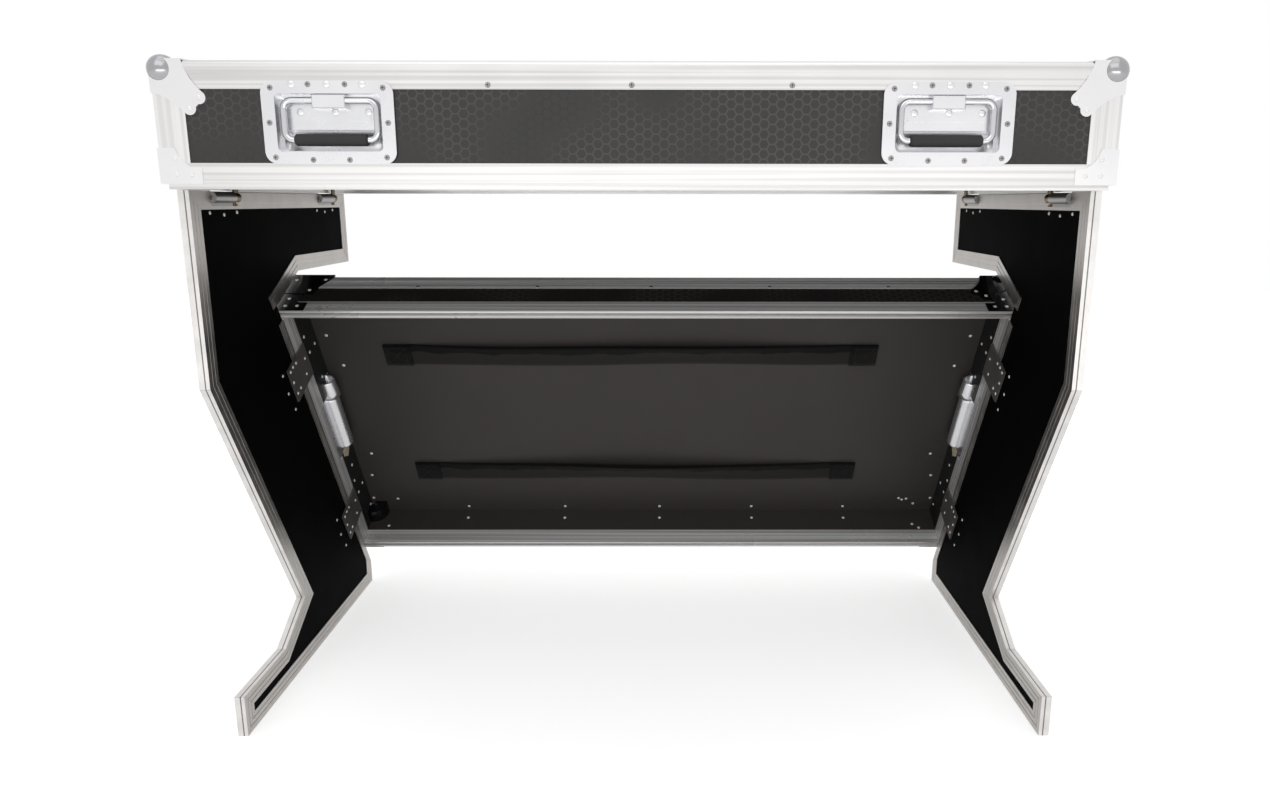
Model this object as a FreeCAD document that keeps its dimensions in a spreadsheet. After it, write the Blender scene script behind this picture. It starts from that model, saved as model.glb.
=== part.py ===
import FreeCAD, Part
import Sketcher
import math
import os
import re

Vector = FreeCAD.Vector
Placement = FreeCAD.Placement
Rotation = FreeCAD.Rotation

doc = FreeCAD.newDocument("folding_table")
sheet = doc.addObject("Spreadsheet::Sheet", "dims")

# Driving sizes in millimetres and degrees. Depths are measured from the tray's
# rear face, on the performer's side, and heights from the floor.
sizes = [
    ("table_width", 1210, "outside of the rails on the short ends"),
    ("table_depth", 600, "outside of the rails, front to back"),
    ("table_height", 953, "floor to the face of the top rails"),
    ("origin_shift", 16.88, "frame's origin in front of the tray's middle"),
    ("tray_height", 150, "rim to top face"),
    ("board", 12, "laminated plywood and its room in the rails"),
    ("board_fit", 0.1, "room round every board"),
    ("mitre_gap", 0.15, "taken off each rail's end at a mitre"),
    ("rail_wall", 1.5, "wall of every rolled or drawn profile"),
    ("edge_flange", 34.5, "flange of the edge rails"),
    ("edge_round", 5, "outer round of the edge rails"),
    ("edge_band", 17, "raised band of an edge rail beside its corner"),
    ("rail_step", 0.5, "step and grooves in the rails"),
    ("rim_flange", 26, "outer flange of the rims"),
    ("post_flange", 38, "flange of the corner posts"),
    ("tongue_width", 5, "tongue that closes the case"),
    ("tongue_height", 6.5, "how far the tongue stands out"),
    ("groove_depth", 8, "groove in the other rim"),
    ("groove_play", 0.6, "room on each side of the tongue"),
    ("joint_gap", 0.4, "running gap between pieces that part"),
    ("shell_depth", 100, "rim to back face of the front shell"),
    ("shell_inner_flange", 32, "inner flange of the shell's rim"),
    ("rim_depth_share", 0.434167, "upper rim edge of the shell, part of the depth"),
    ("rim_height_share", 0.639035, "upper rim edge of the shell, part of the height"),
    ("heel_height", 44.71, "where the shell's rim line meets the leg's front"),
    ("leg_rear", 30, "rear edge of the legs"),
    ("leg_inset", 28, "front edge of the legs behind the tray's front"),
    ("knee_height_share", 0.5551, "where the upper leg starts to slope"),
    ("crook_depth_share", 0.4283, "deepest point of the knee cut-out, part of the depth"),
    ("crook_height_share", 0.1196, "deepest point of the knee cut-out, part of the height"),
    ("toe_depth_share", 0.2833, "where the foot bar starts"),
    ("foot_height", 64, "foot bar"),
    ("arm_room", 9.7, "leg's arm above the shell's upper back edge"),
    ("arm_gap", 12, "arm's notch to the shell's upper wall"),
    ("channel_flange", 24, "flange of the leg's edging"),
    ("rim_channel_flange", 14.7, "flange of the edging along the shell"),
    ("rim_channel_start", 31, "bare edge above the shell's edging"),
    ("channel_groove", 1.2, "width of the edging's grooves"),
    ("hinge_drop", 9, "hinge axis below the leg's top"),
    ("hinge_rear_inset", 54, "rear hinge notch from the leg's rear edge"),
    ("hinge_front_inset", 123, "front hinge notch from the leg's front edge"),
    ("knuckle_length", 58, "leg's half of the hinge"),
    ("knuckle_radius", 8, "barrel of the hinge"),
    ("lug_width", 12, "tray's half of the hinge"),
    ("lug_radius", 7, "eye of the lug"),
    ("lug_leaf", 34, "leaf of the lug above the rim"),
    ("hinge_play", 2, "side play of the lug"),
    ("notch_depth", 21, "notch under the leg's top edge"),
    ("pin_radius", 3, "hinge pin"),
    ("pin_fit", 0.05, "radial play of every pin"),
    ("plate_length", 66, "joint plate along the rim"),
    ("plate_on_leg", 47, "joint plate behind the rim"),
    ("plate_on_shell", 29, "joint plate past the rim"),
    ("plate_thickness", 3, "joint plate"),
    ("plate_upper", 89, "upper joint plate from the shell's upper end"),
    ("plate_lower", 148, "lower joint plate from the shell's lower end"),
    ("ball_radius", 18, "ball corners of the tray"),
    ("shell_ball_radius", 15.5, "ball corners of the shell"),
    ("ball_inset_share", 0.572, "ball's centre inside each face over its radius"),
    ("leaf_reach", 39, "leaf of a ball corner along an edge"),
    ("leaf_sag", 4, "hollow of a leaf's sides"),
    ("lobe_far", 58, "rivet lobe of a leaf, far way"),
    ("lobe_near", 45, "rivet lobe of a leaf, near way"),
    ("leaf_lobe", 8, "round of a leaf's rivet lobes"),
    ("brace_width", 52, "corner brace along the rim"),
    ("brace_height", 44.5, "corner brace along the post"),
    ("brace_arm", 20.8, "width of a brace's arms"),
    ("brace_tab", 12, "straight end of a brace's lower arm"),
    ("handle_width", 165, "handle dish"),
    ("handle_margin", 25, "tray dish to the tray's top face and rim"),
    ("end_handle_margin", 8, "end dish to the shell's rim and back face"),
    ("handle_inset", 217, "tray handles from the short ends"),
    ("handle_corner", 15, "corner round of a dish"),
    ("pan_width", 132, "opening of a dish"),
    ("pan_corner", 6, "corner round of a dish's opening"),
    ("pan_margin", 15, "dish flange above and below the opening"),
    ("pan_depth", 12, "floor of a dish"),
    ("rib_height", 6, "rib across a dish's floor"),
    ("rib_length", 97, "rib across a dish's floor"),
    ("trough_radius", 14.5, "finger trough of a dish"),
    ("trough_round", 7, "round of a trough's ends"),
    ("trough_sunk", 8, "extra depth of the end handles' troughs"),
    ("drain_radius", 6, "hole in the end of a deep trough"),
    ("bail_radius", 4.2, "round bar of the bail"),
    ("bail_bend", 10.5, "bend of the bail"),
    ("bail_play", 3.5, "bail to the dish's sides"),
    ("bail_setback", 5.5, "bail's axis behind the dish's face"),
    ("grip_length", 92, "rubber grip"),
    ("grip_radius", 7.5, "rubber grip"),
    ("grip_bevel", 2, "bevel of a grip's ends"),
    ("clip_width", 41, "clip over the bail's pivot"),
    ("clip_height", 17, "clip over the bail's pivot"),
    ("clip_round", 2.5, "round of the clip's edges"),
    ("castor_radius", 23, "tilt wheel"),
    ("castor_width", 20, "tilt wheel"),
    ("castor_crown", 3, "bevel of the tyre"),
    ("castor_reach", 4.5, "tilt wheel outside each face"),
    ("castor_room", 3, "tilt wheel to its housing"),
    ("axle_radius", 4, "tilt wheel's axle"),
    ("bracket_length", 74, "castor bracket along the back edge"),
    ("bracket_drop", 53, "castor bracket from the back face to the rim"),
    ("bracket_end", 60, "castor bracket along the short end"),
    ("hump_radius", 14, "round corner of a castor bracket"),
    ("hump_inset", 12.5, "its centre inside each face"),
    ("strap_width", 45, "webbing"),
    ("strap_thickness", 2, "webbing"),
    ("strap_upper", 136.5, "upper strap from the shell's upper end"),
    ("strap_lower", 161, "lower strap from the shell's lower end"),
    ("strap_rise", 9, "slack waves of the straps"),
    ("strap_left", 176, "left strap end from the shell's left end"),
    ("strap_right", 241, "right strap end from the shell's right end"),
    ("anchor_length", 48, "sewn strap end"),
    ("anchor_thickness", 5, "sewn strap end"),
]
for row, (name, size, note) in enumerate(sizes, 1):
    sheet.set("A%d" % row, name)
    sheet.set("B%d" % row, str(size))
    sheet.set("C%d" % row, note)
    sheet.setAlias("B%d" % row, name)
doc.recompute()
names = [entry[0] for entry in sizes]
nodes = []


def val(name):
    return float(sheet.get(name))


def bound(text):
    def spell(word):
        return "dims." + word.group(0) if word.group(0) in names else word.group(0)

    return re.sub(r"[a-z_]+", spell, text)


width = val("table_width")
depth = val("table_depth")
top = val("table_height")
wall = val("rail_wall")
board = val("board")
clear = val("joint_gap")
thick = board + 2 * wall
flange = val("edge_flange")

# The shell's rim lies on the line from the arms' notches to the legs' heels.
rim_y = depth * val("rim_depth_share")
rim_z = top * val("rim_height_share")
lean = math.atan((depth - val("leg_inset") - rim_y) / (rim_z - val("heel_height")))
origin = depth / 2 + val("origin_shift")
rim_top_y = "(table_depth * rim_depth_share)"
rim_top_z = "(table_height * rim_height_share)"
leg_front = "(table_depth - leg_inset)"
lean_text = "atan((%s - %s) / (%s - heel_height))" % (leg_front, rim_top_y, rim_top_z)
origin_text = "(table_depth / 2 + origin_shift)"


# The shell is drawn lying on its rim's plane: x across the table, y down along
# the rim from its upper edge, z from the rim to the back. It leans as a whole.
def place(part, frame):
    if frame == "shell":
        part.Placement = Placement(Vector(), Rotation(Vector(-1, 0, 0), 90 - math.degrees(lean)))
        part.setExpression(".Placement.Base.y", bound(rim_top_y + " - " + origin_text))
        part.setExpression(".Placement.Base.z", bound(rim_top_z))
        part.setExpression(".Placement.Rotation.Angle", bound("90 deg - " + lean_text))
    else:
        part.setExpression(".Placement.Base.y", bound("-" + origin_text))


def in_table(x, y, z):
    ahead = y * math.sin(lean) + z * math.cos(lean)
    return Vector(x, rim_y + ahead, rim_z - y * math.cos(lean) + z * math.sin(lean))


def tell(name, spot):
    print(name, [round(c, 3) for c in (spot.x, spot.y - origin, spot.z)])


def block(start, size):
    part = doc.addObject("Part::Box", "block")
    for side, text in zip(("Length", "Width", "Height"), size):
        part.setExpression(side, bound(text))
    for axis, text in zip("xyz", start):
        part.setExpression(".Placement.Base." + axis, bound(text))
    return part


# A board, with its fit to the rails and boards around it taken off all round.
def panel(start, size):
    return block([text + " + board_fit" for text in start], [text + " - 2 * board_fit" for text in size])


def rod(axis, start, radius, length):
    part = doc.addObject("Part::Cylinder", "rod")
    turn = {"x": Rotation(Vector(0, 1, 0), 90), "y": Rotation(Vector(-1, 0, 0), 90), "z": Rotation()}
    part.Placement = Placement(Vector(), turn[axis])
    part.setExpression("Radius", bound(radius))
    part.setExpression("Height", bound(length))
    for side, text in zip("xyz", start):
        part.setExpression(".Placement.Base." + side, bound(text))
    return part


def fused(parts):
    part = doc.addObject("Part::MultiFuse", "fused")
    part.Shapes = parts
    part.Refine = True
    return part


def compound(parts):
    part = doc.addObject("Part::Compound", "group")
    part.Links = parts
    return part


def cut(base, tools):
    part = doc.addObject("Part::Cut", "cut")
    part.Base = base
    part.Tool = compound(tools)
    return part


def node(label, parts, frame):
    part = compound(parts)
    part.Label = label
    place(part, frame)
    nodes.append(part)
    return part


def feature(label, shape, frame):
    part = doc.addObject("Part::Feature", "piece")
    part.Shape = Part.makeCompound(shape.Solids)
    part.Label = label
    place(part, frame)
    nodes.append(part)
    return part


def polygon_face(points):
    return Part.Face(Part.makePolygon(points + points[:1]))


# One rail of a frame: a profile of (inward, height) points drawn along a side
# and cut at 45 degrees where it meets its neighbours.
def mitred_rail(profile, length, rounded):
    face = polygon_face([Vector(0, inward, height) for inward, height in profile])
    bar = face.extrude(Vector(length, 0, 0))
    if rounded:
        corner = [edge for edge in bar.Edges
                  if all(abs(v.Y) < 1e-6 and abs(v.Z - rounded[0]) < 1e-6 for v in edge.Vertexes)]
        bar = bar.makeFillet(rounded[1], corner)
    low = min(height for inward, height in profile) - 1
    high = max(height for inward, height in profile) + 1
    deep = max(inward for inward, height in profile) + 1
    gap = val("mitre_gap")
    ends = [Vector(gap - 1, -1, low), Vector(length + 1 - gap, -1, low),
            Vector(length - deep - gap, deep, low), Vector(deep + gap, deep, low)]
    return bar.common(polygon_face(ends).extrude(Vector(0, 0, high - low)))


def at_corners(piece, height, turns):
    copies = []
    for turn in turns:
        copy = piece.copy()
        wide, deep = (width, depth) if turn % 2 == 0 else (depth, width)
        copy.translate(Vector(-wide / 2, -deep / 2, height))
        copy.rotate(Vector(), Vector(0, 0, 1), 90 * turn)
        copy.translate(Vector(0, depth / 2, 0))
        copies.append(copy)
    return Part.makeCompound(copies)


def mitred_frame(profile, rounded=None):
    rails = []
    for turn in range(4):
        rail = mitred_rail(profile, width if turn % 2 == 0 else depth, rounded)
        rails.extend(at_corners(rail, 0, [turn]).Solids)
    return Part.makeCompound(rails)


# Edge rail: an angle with a raised band beside its rounded corner.
def edge_rails(face):
    band = val("edge_band")
    step = val("rail_step")
    profile = [(0, face), (0, face - band), (step, face - band), (step, face - flange), (wall, face - flange),
               (wall, face - wall), (flange, face - wall), (flange, face - step), (band, face - step),
               (band, face)]
    return mitred_frame(profile, (face, val("edge_round")))


# Tray: five boards in aluminium rails, open below, and a sheet flush with the
# top rails whose clipped corners leave room for the ball corners' leaves.
half = "table_width / 2"
tray_low = "table_height - tray_height"
wall_low = tray_low + " + rail_wall"
wall_high = "tray_height - 2 * rail_wall"
skin = "(rail_wall + board)"
tray_windows = []
deck = panel(["-" + half + " + " + skin, skin, "table_height - " + skin],
             ["table_width - 2 * " + skin, "table_depth - 2 * " + skin, "board"])
node("tray_deck", [deck], "tray")
for side in (-1, 1):
    window = block(["%d * (%s - handle_inset) - pan_width / 2 - rail_wall" % (side, half), "0",
                    tray_low + " + handle_margin + pan_margin - rail_wall"],
                   ["pan_width + 2 * rail_wall", "3 * board",
                    "tray_height - 2 * handle_margin - 2 * pan_margin + 2 * rail_wall"])
    tray_windows.append(window)
rear = panel(["-" + half + " + rail_wall", "rail_wall", wall_low],
             ["table_width - 2 * rail_wall", "board", wall_high])
node("tray_rear_panel", [cut(rear, tray_windows)], "tray")
front = panel(["-" + half + " + rail_wall", "table_depth - " + skin, wall_low],
              ["table_width - 2 * rail_wall", "board", wall_high])
node("tray_front_panel", [front], "tray")
for name, start in (("left", "-" + half + " + rail_wall"), ("right", half + " - " + skin)):
    side = panel([start, skin, wall_low], ["board", "table_depth - 2 * " + skin, wall_high])
    node("tray_%s_panel" % name, [side], "tray")

inset = flange + clear
clip = val("lobe_far") + val("lobe_near") + 2 * val("leaf_lobe") + clear - 2 * inset
edge_x = width / 2 - inset
edge_y = depth / 2 - inset
outline = []
for along, across in ((1, 1), (-1, 1), (-1, -1), (1, -1)):
    near = Vector(along * (edge_x - clip), depth / 2 + across * edge_y, top - wall)
    far = Vector(along * edge_x, depth / 2 + across * (edge_y - clip), top - wall)
    outline += [far, near] if along * across > 0 else [near, far]
feature("tray_deck_sheet", polygon_face(outline).extrude(Vector(0, 0, wall)), "tray")
feature("tray_edge_rails", edge_rails(top), "tray")

low = top - val("tray_height")
rim = val("rim_flange")
tongue_in = thick / 2 - val("tongue_width") / 2
tongue_out = thick / 2 + val("tongue_width") / 2
tongue_low = low - val("tongue_height")
rim_profile = [(0, low + rim), (0, low), (tongue_in, low), (tongue_in, tongue_low), (tongue_out, tongue_low),
               (tongue_out, low), (thick, low), (thick, low + rim), (thick - wall, low + rim),
               (thick - wall, low + wall), (wall, low + wall), (wall, low + rim)]
feature("tray_rim_rails", mitred_frame(rim_profile), "tray")


# Corner posts: angles between the two frames of rails.
def corner_posts(start, stop):
    post = val("post_flange")
    angle = [Vector(0, 0, 0), Vector(post, 0, 0), Vector(post, wall, 0), Vector(wall, wall, 0),
             Vector(wall, post, 0), Vector(0, post, 0)]
    return at_corners(polygon_face(angle).extrude(Vector(0, 0, stop - start)), start, range(4)).Solids


feature("tray_corner_posts", Part.makeCompound(corner_posts(low + rim, top - flange)), "tray")


def line(a, b):
    return Part.makeLine(a, b)


def arc(a, b, c):
    return Part.Arc(a, b, c).toShape()


# Leaf of a ball corner: hollow sides that run out from the ball into two rivet
# lobes. The lobes step down past the rails to lie on the board.
def corner_leaf(inset):
    reach = val("leaf_reach")
    far, near, lobe = val("lobe_far"), val("lobe_near"), val("leaf_lobe")

    def swap(point):
        return Vector(point.y, point.x, 0)

    def on_lobe(angle):
        turn = math.radians(angle)
        return Vector(far + lobe * math.cos(turn), near + lobe * math.sin(turn), 0)

    start = Vector(reach, -wall, 0)
    first, second, third = on_lobe(-40), on_lobe(30), on_lobe(100)
    run = first - start
    middle = (start + first) * 0.5 + Vector(-run.y, run.x, 0).normalize() * val("leaf_sag")
    ball = Vector(inset, -wall, 0)
    edges = [line(swap(ball), ball), line(ball, start), arc(start, middle, first), arc(first, second, third),
             line(third, swap(third)), arc(swap(third), swap(second), swap(first)),
             arc(swap(first), swap(middle), swap(start)), line(swap(start), swap(ball))]
    face = Part.Face(Part.Wire(edges))
    leaf = face.extrude(Vector(0, 0, wall))
    past = val("post_flange") + clear
    pad = face.extrude(Vector(0, 0, -wall)).common(Part.makeBox(far, far, wall, Vector(past, past, -wall)))
    return leaf.fuse(pad).removeSplitter()


# A ball corner for the corner at the origin, with its leaves along +x, +y, -z.
def ball_corner(radius):
    inset = radius * val("ball_inset_share")
    upper = corner_leaf(inset)
    rear_leaf = upper.copy()
    rear_leaf.rotate(Vector(), Vector(1, 0, 0), 90)
    rear_leaf = rear_leaf.mirror(Vector(), Vector(0, 0, 1))
    side_leaf = upper.copy()
    side_leaf.rotate(Vector(), Vector(0, 1, 0), -90)
    side_leaf = side_leaf.mirror(Vector(), Vector(0, 0, 1))
    ball = Part.makeSphere(radius, Vector(inset, inset, -inset))
    ball = ball.cut(Part.makeBox(2 * radius, 2 * radius, 2 * radius, Vector(0, 0, -2 * radius)))
    return upper.multiFuse([rear_leaf, side_leaf, ball]).removeSplitter()


feature("tray_ball_corners", at_corners(ball_corner(val("ball_radius")), top, range(4)), "tray")


# Corner braces wrap a post and lie over the rim's outer flange.
def corner_brace():
    wide, tall, arm = val("brace_width"), val("brace_height"), val("brace_arm")
    inner = Vector(wide - val("brace_tab"), 0, arm)
    upper = Vector(arm, 0, tall)
    middle = (inner + upper) * 0.5 - Vector(1, 0, 1).normalize() * val("leaf_sag")
    corners = [Vector(wide, 0, arm), Vector(wide, 0, 0), Vector(), Vector(0, 0, tall), upper]
    edges = [line(a, b) for a, b in zip([inner] + corners, corners)]
    leaf = Part.Face(Part.Wire(edges + [arc(upper, middle, inner)])).extrude(Vector(0, wall, 0))
    rear_leaf = leaf.copy()
    rear_leaf.translate(Vector(0, -wall, 0))
    side_leaf = leaf.mirror(Vector(), Vector(1, -1, 0))
    side_leaf.translate(Vector(-wall, 0, 0))
    brace = rear_leaf.multiFuse([side_leaf, Part.makeBox(wall, wall, tall, Vector(-wall, -wall, 0))])
    return brace.removeSplitter()


feature("tray_rim_braces", at_corners(corner_brace(), low, range(4)), "tray")


def edges_along(shape, axis):
    return [edge for edge in shape.Edges
            if len(edge.Vertexes) == 2 and abs(edge.tangentAt(edge.FirstParameter).dot(axis)) > 0.99]


# Half of a trough's section, turned about its axis from end to end.
def trough_body(radius, length, round_end):
    turn = round_end * (1 - math.sqrt(0.5))
    ends = [Vector(-length / 2, 0, 0), Vector(-length / 2, radius - round_end, 0),
            Vector(-length / 2 + round_end, radius, 0), Vector(length / 2 - round_end, radius, 0),
            Vector(length / 2, radius - round_end, 0), Vector(length / 2, 0, 0)]
    left = Vector(-length / 2 + turn, radius - turn, 0)
    right = Vector(length / 2 - turn, radius - turn, 0)
    section = [line(ends[0], ends[1]), arc(ends[1], left, ends[2]), line(ends[2], ends[3]),
               arc(ends[3], right, ends[4]), line(ends[4], ends[5]), line(ends[5], ends[0])]
    return Part.Face(Part.Wire(section)).revolve(Vector(), Vector(1, 0, 0), 360)


# Recessed spring handles. Drawn about the dish's centre: x along the grip,
# y into the case from the face of the rails, z from the grip to the pivot.
# A deep trough has a hole in one end, named by its side.
def handle(height, sunk, hole_side):
    wide = val("handle_width")
    back = val("pan_depth")
    open_wide = val("pan_width")
    open_low = -height / 2 + val("pan_margin")
    open_tall = height - 2 * val("pan_margin")
    setback = val("bail_setback")
    bar = val("bail_radius")
    trough = val("trough_radius")
    play = val("bail_play")
    pivot = open_low + open_tall - bar - play
    grip = open_low + trough
    inward = Vector(0, 1, 0)
    plate = Part.makeBox(wide, wall, height, Vector(-wide / 2, -wall, -height / 2))
    plate = plate.makeFillet(val("handle_corner"), edges_along(plate, inward))
    pan = Part.makeBox(open_wide + 2 * wall, back + wall, open_tall + 2 * wall,
                       Vector(-open_wide / 2 - wall, 0, open_low - wall))
    pan = pan.makeFillet(val("pan_corner") + wall, edges_along(pan, inward))
    hollow = Part.makeBox(open_wide, back + 2 * wall, open_tall, Vector(-open_wide / 2, -2 * wall, open_low))
    hollow = hollow.makeFillet(val("pan_corner"), edges_along(hollow, inward))
    long = open_wide - 2 * play
    axis = setback + sunk
    bulge = trough_body(trough + wall, long + 2 * wall, val("trough_round") + wall)
    bulge.translate(Vector(0, axis, grip))
    groove = trough_body(trough, long, val("trough_round"))
    groove.translate(Vector(0, axis, grip))
    if sunk:
        sides = Part.makeBox(long + 2 * wall, axis, 2 * (trough + wall),
                             Vector(-long / 2 - wall, 0, open_low - wall))
        bulge = bulge.fuse(sides)
        groove = groove.fuse(Part.makeBox(long, axis, 2 * trough, Vector(-long / 2, 0, open_low)))
    bulge = bulge.common(Part.makeBox(wide, wide, height, Vector(-wide / 2, 0, -height / 2)))
    dish = plate.multiFuse([pan, bulge]).cut(hollow).cut(groove)
    if sunk:
        drain = Part.makeCylinder(val("drain_radius"), wide, Vector(0, axis, grip), Vector(hole_side, 0, 0))
        dish = dish.cut(drain)
    rib_long = val("rib_length")
    rib_z = grip + 0.55 * (pivot - grip) - val("rib_height") / 2
    rib = Part.makeBox(rib_long, 2 * val("rail_step"), val("rib_height"),
                       Vector(-rib_long / 2, back - 2 * val("rail_step"), rib_z))
    dish = dish.fuse(rib).removeSplitter()

    half_wide = open_wide / 2 - play - bar
    bend = val("bail_bend")
    points = [(-half_wide, pivot), (half_wide, pivot), (half_wide, grip), (-half_wide, grip)]
    bars = []
    for index, (x, z) in enumerate(points):
        nx, nz = points[(index + 1) % 4]
        fx, fz = points[(index + 2) % 4]
        ahead = Vector(nx - x, 0, nz - z).normalize()
        aside = Vector(fx - nx, 0, fz - nz).normalize()
        begin = Vector(x, setback, z) + ahead * bend
        stop = Vector(nx, setback, nz) - ahead * bend
        bars.append(Part.makeCylinder(bar, (stop - begin).Length, begin, ahead))
        disc = Part.Face(Part.Wire(Part.makeCircle(bar, stop, ahead)))
        bars.append(disc.revolve(stop + aside * bend, ahead.cross(aside), 90))
    bail = bars[0].multiFuse(bars[1:]).removeSplitter()

    def along_x(radius, length, z):
        return Part.makeCylinder(radius, length, Vector(-length / 2, setback, z), Vector(1, 0, 0))

    sleeve = along_x(val("grip_radius"), val("grip_length"), grip)
    sleeve = sleeve.makeChamfer(val("grip_bevel"), [edge for edge in sleeve.Edges if len(edge.Vertexes) == 1])
    sleeve = sleeve.cut(along_x(bar, val("grip_length"), grip))

    clip_wide, clip_tall = val("clip_width"), val("clip_height")
    bore = bar + val("pin_fit")
    front = setback - bore - wall
    clip = Part.makeBox(clip_wide, back - front, clip_tall,
                        Vector(-clip_wide / 2, front, open_low + open_tall - clear - clip_tall))
    rim_edges = [edge for edge in clip.Edges if all(abs(v.Y - front) < 1e-6 for v in edge.Vertexes)]
    clip = clip.makeChamfer(val("clip_round") * 0.4, rim_edges)
    clip = clip.cut(along_x(bore, clip_wide, pivot))
    return dish, clip, bail, sleeve, Vector(0, setback, pivot)


def add_handle(name, height, spot, frame, sunk, hole_side):
    dish, clip, bail, sleeve, pivot = handle(height, sunk, hole_side)
    for label, shape in (("_dish", dish), ("_clip", clip), ("_bail", bail), ("_grip", sleeve)):
        shape = shape.copy()
        shape.Placement = spot
        feature(name + label, shape, frame)
    pin = spot.multVec(pivot)
    tell(name + " pivot", in_table(*pin) if frame == "shell" else pin)


handle_x = width / 2 - val("handle_inset")
handle_z = low + val("tray_height") / 2
for side, name in ((-1, "tray_left_handle"), (1, "tray_right_handle")):
    spot = Placement(Vector(side * handle_x, 0, handle_z), Rotation())
    add_handle(name, val("tray_height") - 2 * val("handle_margin"), spot, "tray", 0, side)

# Legs: a Z-shaped board in mitred channel edging, hinged under the tray's ends.
gap = "(joint_gap + rail_wall)"
lean_sin = "sin(%s)" % lean_text
lean_cos = "cos(%s)" % lean_text
rear_y = "leg_rear + rail_wall"
front_y = leg_front + " - rail_wall"
top_z = "table_height - tray_height - tongue_height - joint_gap - rail_wall"
foot_z = "foot_height - rail_wall"
arm_z = "%s + shell_depth * %s + arm_room + rail_wall" % (rim_top_z, lean_sin)
line_y = "(%s - %s * %s)" % (rim_top_y, gap, lean_cos)
line_z = "(%s - %s * %s)" % (rim_top_z, gap, lean_sin)
heel_z = "%s - (%s - %s) * %s / %s" % (line_z, front_y, line_y, lean_cos, lean_sin)
notch_y = "%s - (arm_gap + rail_wall) * %s" % (line_y, lean_sin)
notch_z = "%s + (arm_gap + rail_wall) * %s" % (line_z, lean_cos)
crook_y = "%s + (%s - (%s)) * %s / %s" % (notch_y, arm_z, notch_z, lean_cos, lean_sin)
leg_corners = [(rear_y, top_z), (rear_y, "table_height * knee_height_share"),
               ("table_depth * crook_depth_share", "table_height * crook_height_share"),
               ("table_depth * toe_depth_share", foot_z), (rear_y, foot_z), (rear_y, "rail_wall"),
               (front_y, "rail_wall"), (front_y, heel_z), (notch_y, notch_z), (crook_y, arm_z),
               (front_y, arm_z), (front_y, top_z)]
rim_side = leg_corners.index((front_y, heel_z))


def outline_sketch(body, corners):
    sketch = body.newObject("Sketcher::SketchObject", "outline")
    planes = [plane for plane in body.Origin.OriginFeatures if plane.Role == "YZ_Plane"]
    sketch.AttachmentSupport = [(plane, "") for plane in planes]
    sketch.MapMode = "FlatFace"
    count = len(corners)
    turns = [2 * math.pi * i / count for i in range(count)]
    middle = Vector(depth / 2, top / 2, 0)
    ring = [middle + Vector(math.cos(turn), math.sin(turn), 0) * (depth / 3) for turn in turns]
    for i in range(count):
        sketch.addGeometry(Part.LineSegment(ring[i], ring[(i + 1) % count]), False)
    for i in range(count):
        sketch.addConstraint(Sketcher.Constraint("Coincident", i, 2, (i + 1) % count, 1))
    for i, (across, up) in enumerate(corners):
        for kind, text, start in (("DistanceX", across, ring[i].x), ("DistanceY", up, ring[i].y)):
            index = sketch.addConstraint(Sketcher.Constraint(kind, -1, 1, i, 1, start))
            sketch.setExpression("Constraints[%d]" % index, bound(text))
    return sketch


# Where two sides of an outline meet once each is moved inward by its own step.
def meet(a, b, c, first, second):
    before = (b - a).normalize()
    after = (c - b).normalize()
    p = b + Vector(-before.y, before.x, 0) * first
    q = b + Vector(-after.y, after.x, 0) * second
    cross = before.x * after.y - before.y * after.x
    step = ((q.x - p.x) * after.y - (q.y - p.y) * after.x) / cross
    return p + before * step


def prism(points, start, thickness):
    face = polygon_face([Vector(start, point.x, point.y) for point in points])
    return face.extrude(Vector(thickness, 0, 0))


# Channel edging round a leg, mitred at its corners, with two grooves drawn
# along each flange.
def leg_edging(corners, start):
    count = len(corners)
    flanges = [val("rim_channel_flange") if i == rim_side else val("channel_flange") for i in range(count)]
    fit = val("board_fit")
    bed = [meet(corners[i - 1], corners[i], corners[(i + 1) % count], -fit, -fit) for i in range(count)]
    room = prism(bed, start + wall - fit, board + 2 * fit)
    slit = val("channel_groove")
    step = val("rail_step")
    pieces = []
    for i in range(count):
        a, b, c, d = (corners[(i + k - 1) % count] for k in range(4))
        gap = (c - b).normalize() * val("mitre_gap")

        def strip(low_share, low_more, high_share, high_more, from_x, thickness):
            def inset(side, share, more):
                return flanges[side % count] * share + more

            points = [meet(a, b, c, inset(i - 1, low_share, low_more), inset(i, low_share, low_more)),
                      meet(b, c, d, inset(i, low_share, low_more), inset(i + 1, low_share, low_more)),
                      meet(b, c, d, inset(i, high_share, high_more), inset(i + 1, high_share, high_more)),
                      meet(a, b, c, inset(i - 1, high_share, high_more), inset(i, high_share, high_more))]
            points = [points[0] + gap, points[1] - gap, points[2] - gap, points[3] + gap]
            return prism(points, from_x, thickness)

        piece = strip(0, -wall, 1, 0, start, thick).cut(room)
        grooves = [strip(share, 0, share, slit, side_x, step)
                   for share in (0.3, 0.65) for side_x in (start, start + thick - step)]
        pieces.append(piece.cut(Part.makeCompound(grooves)))
    return pieces


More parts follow.
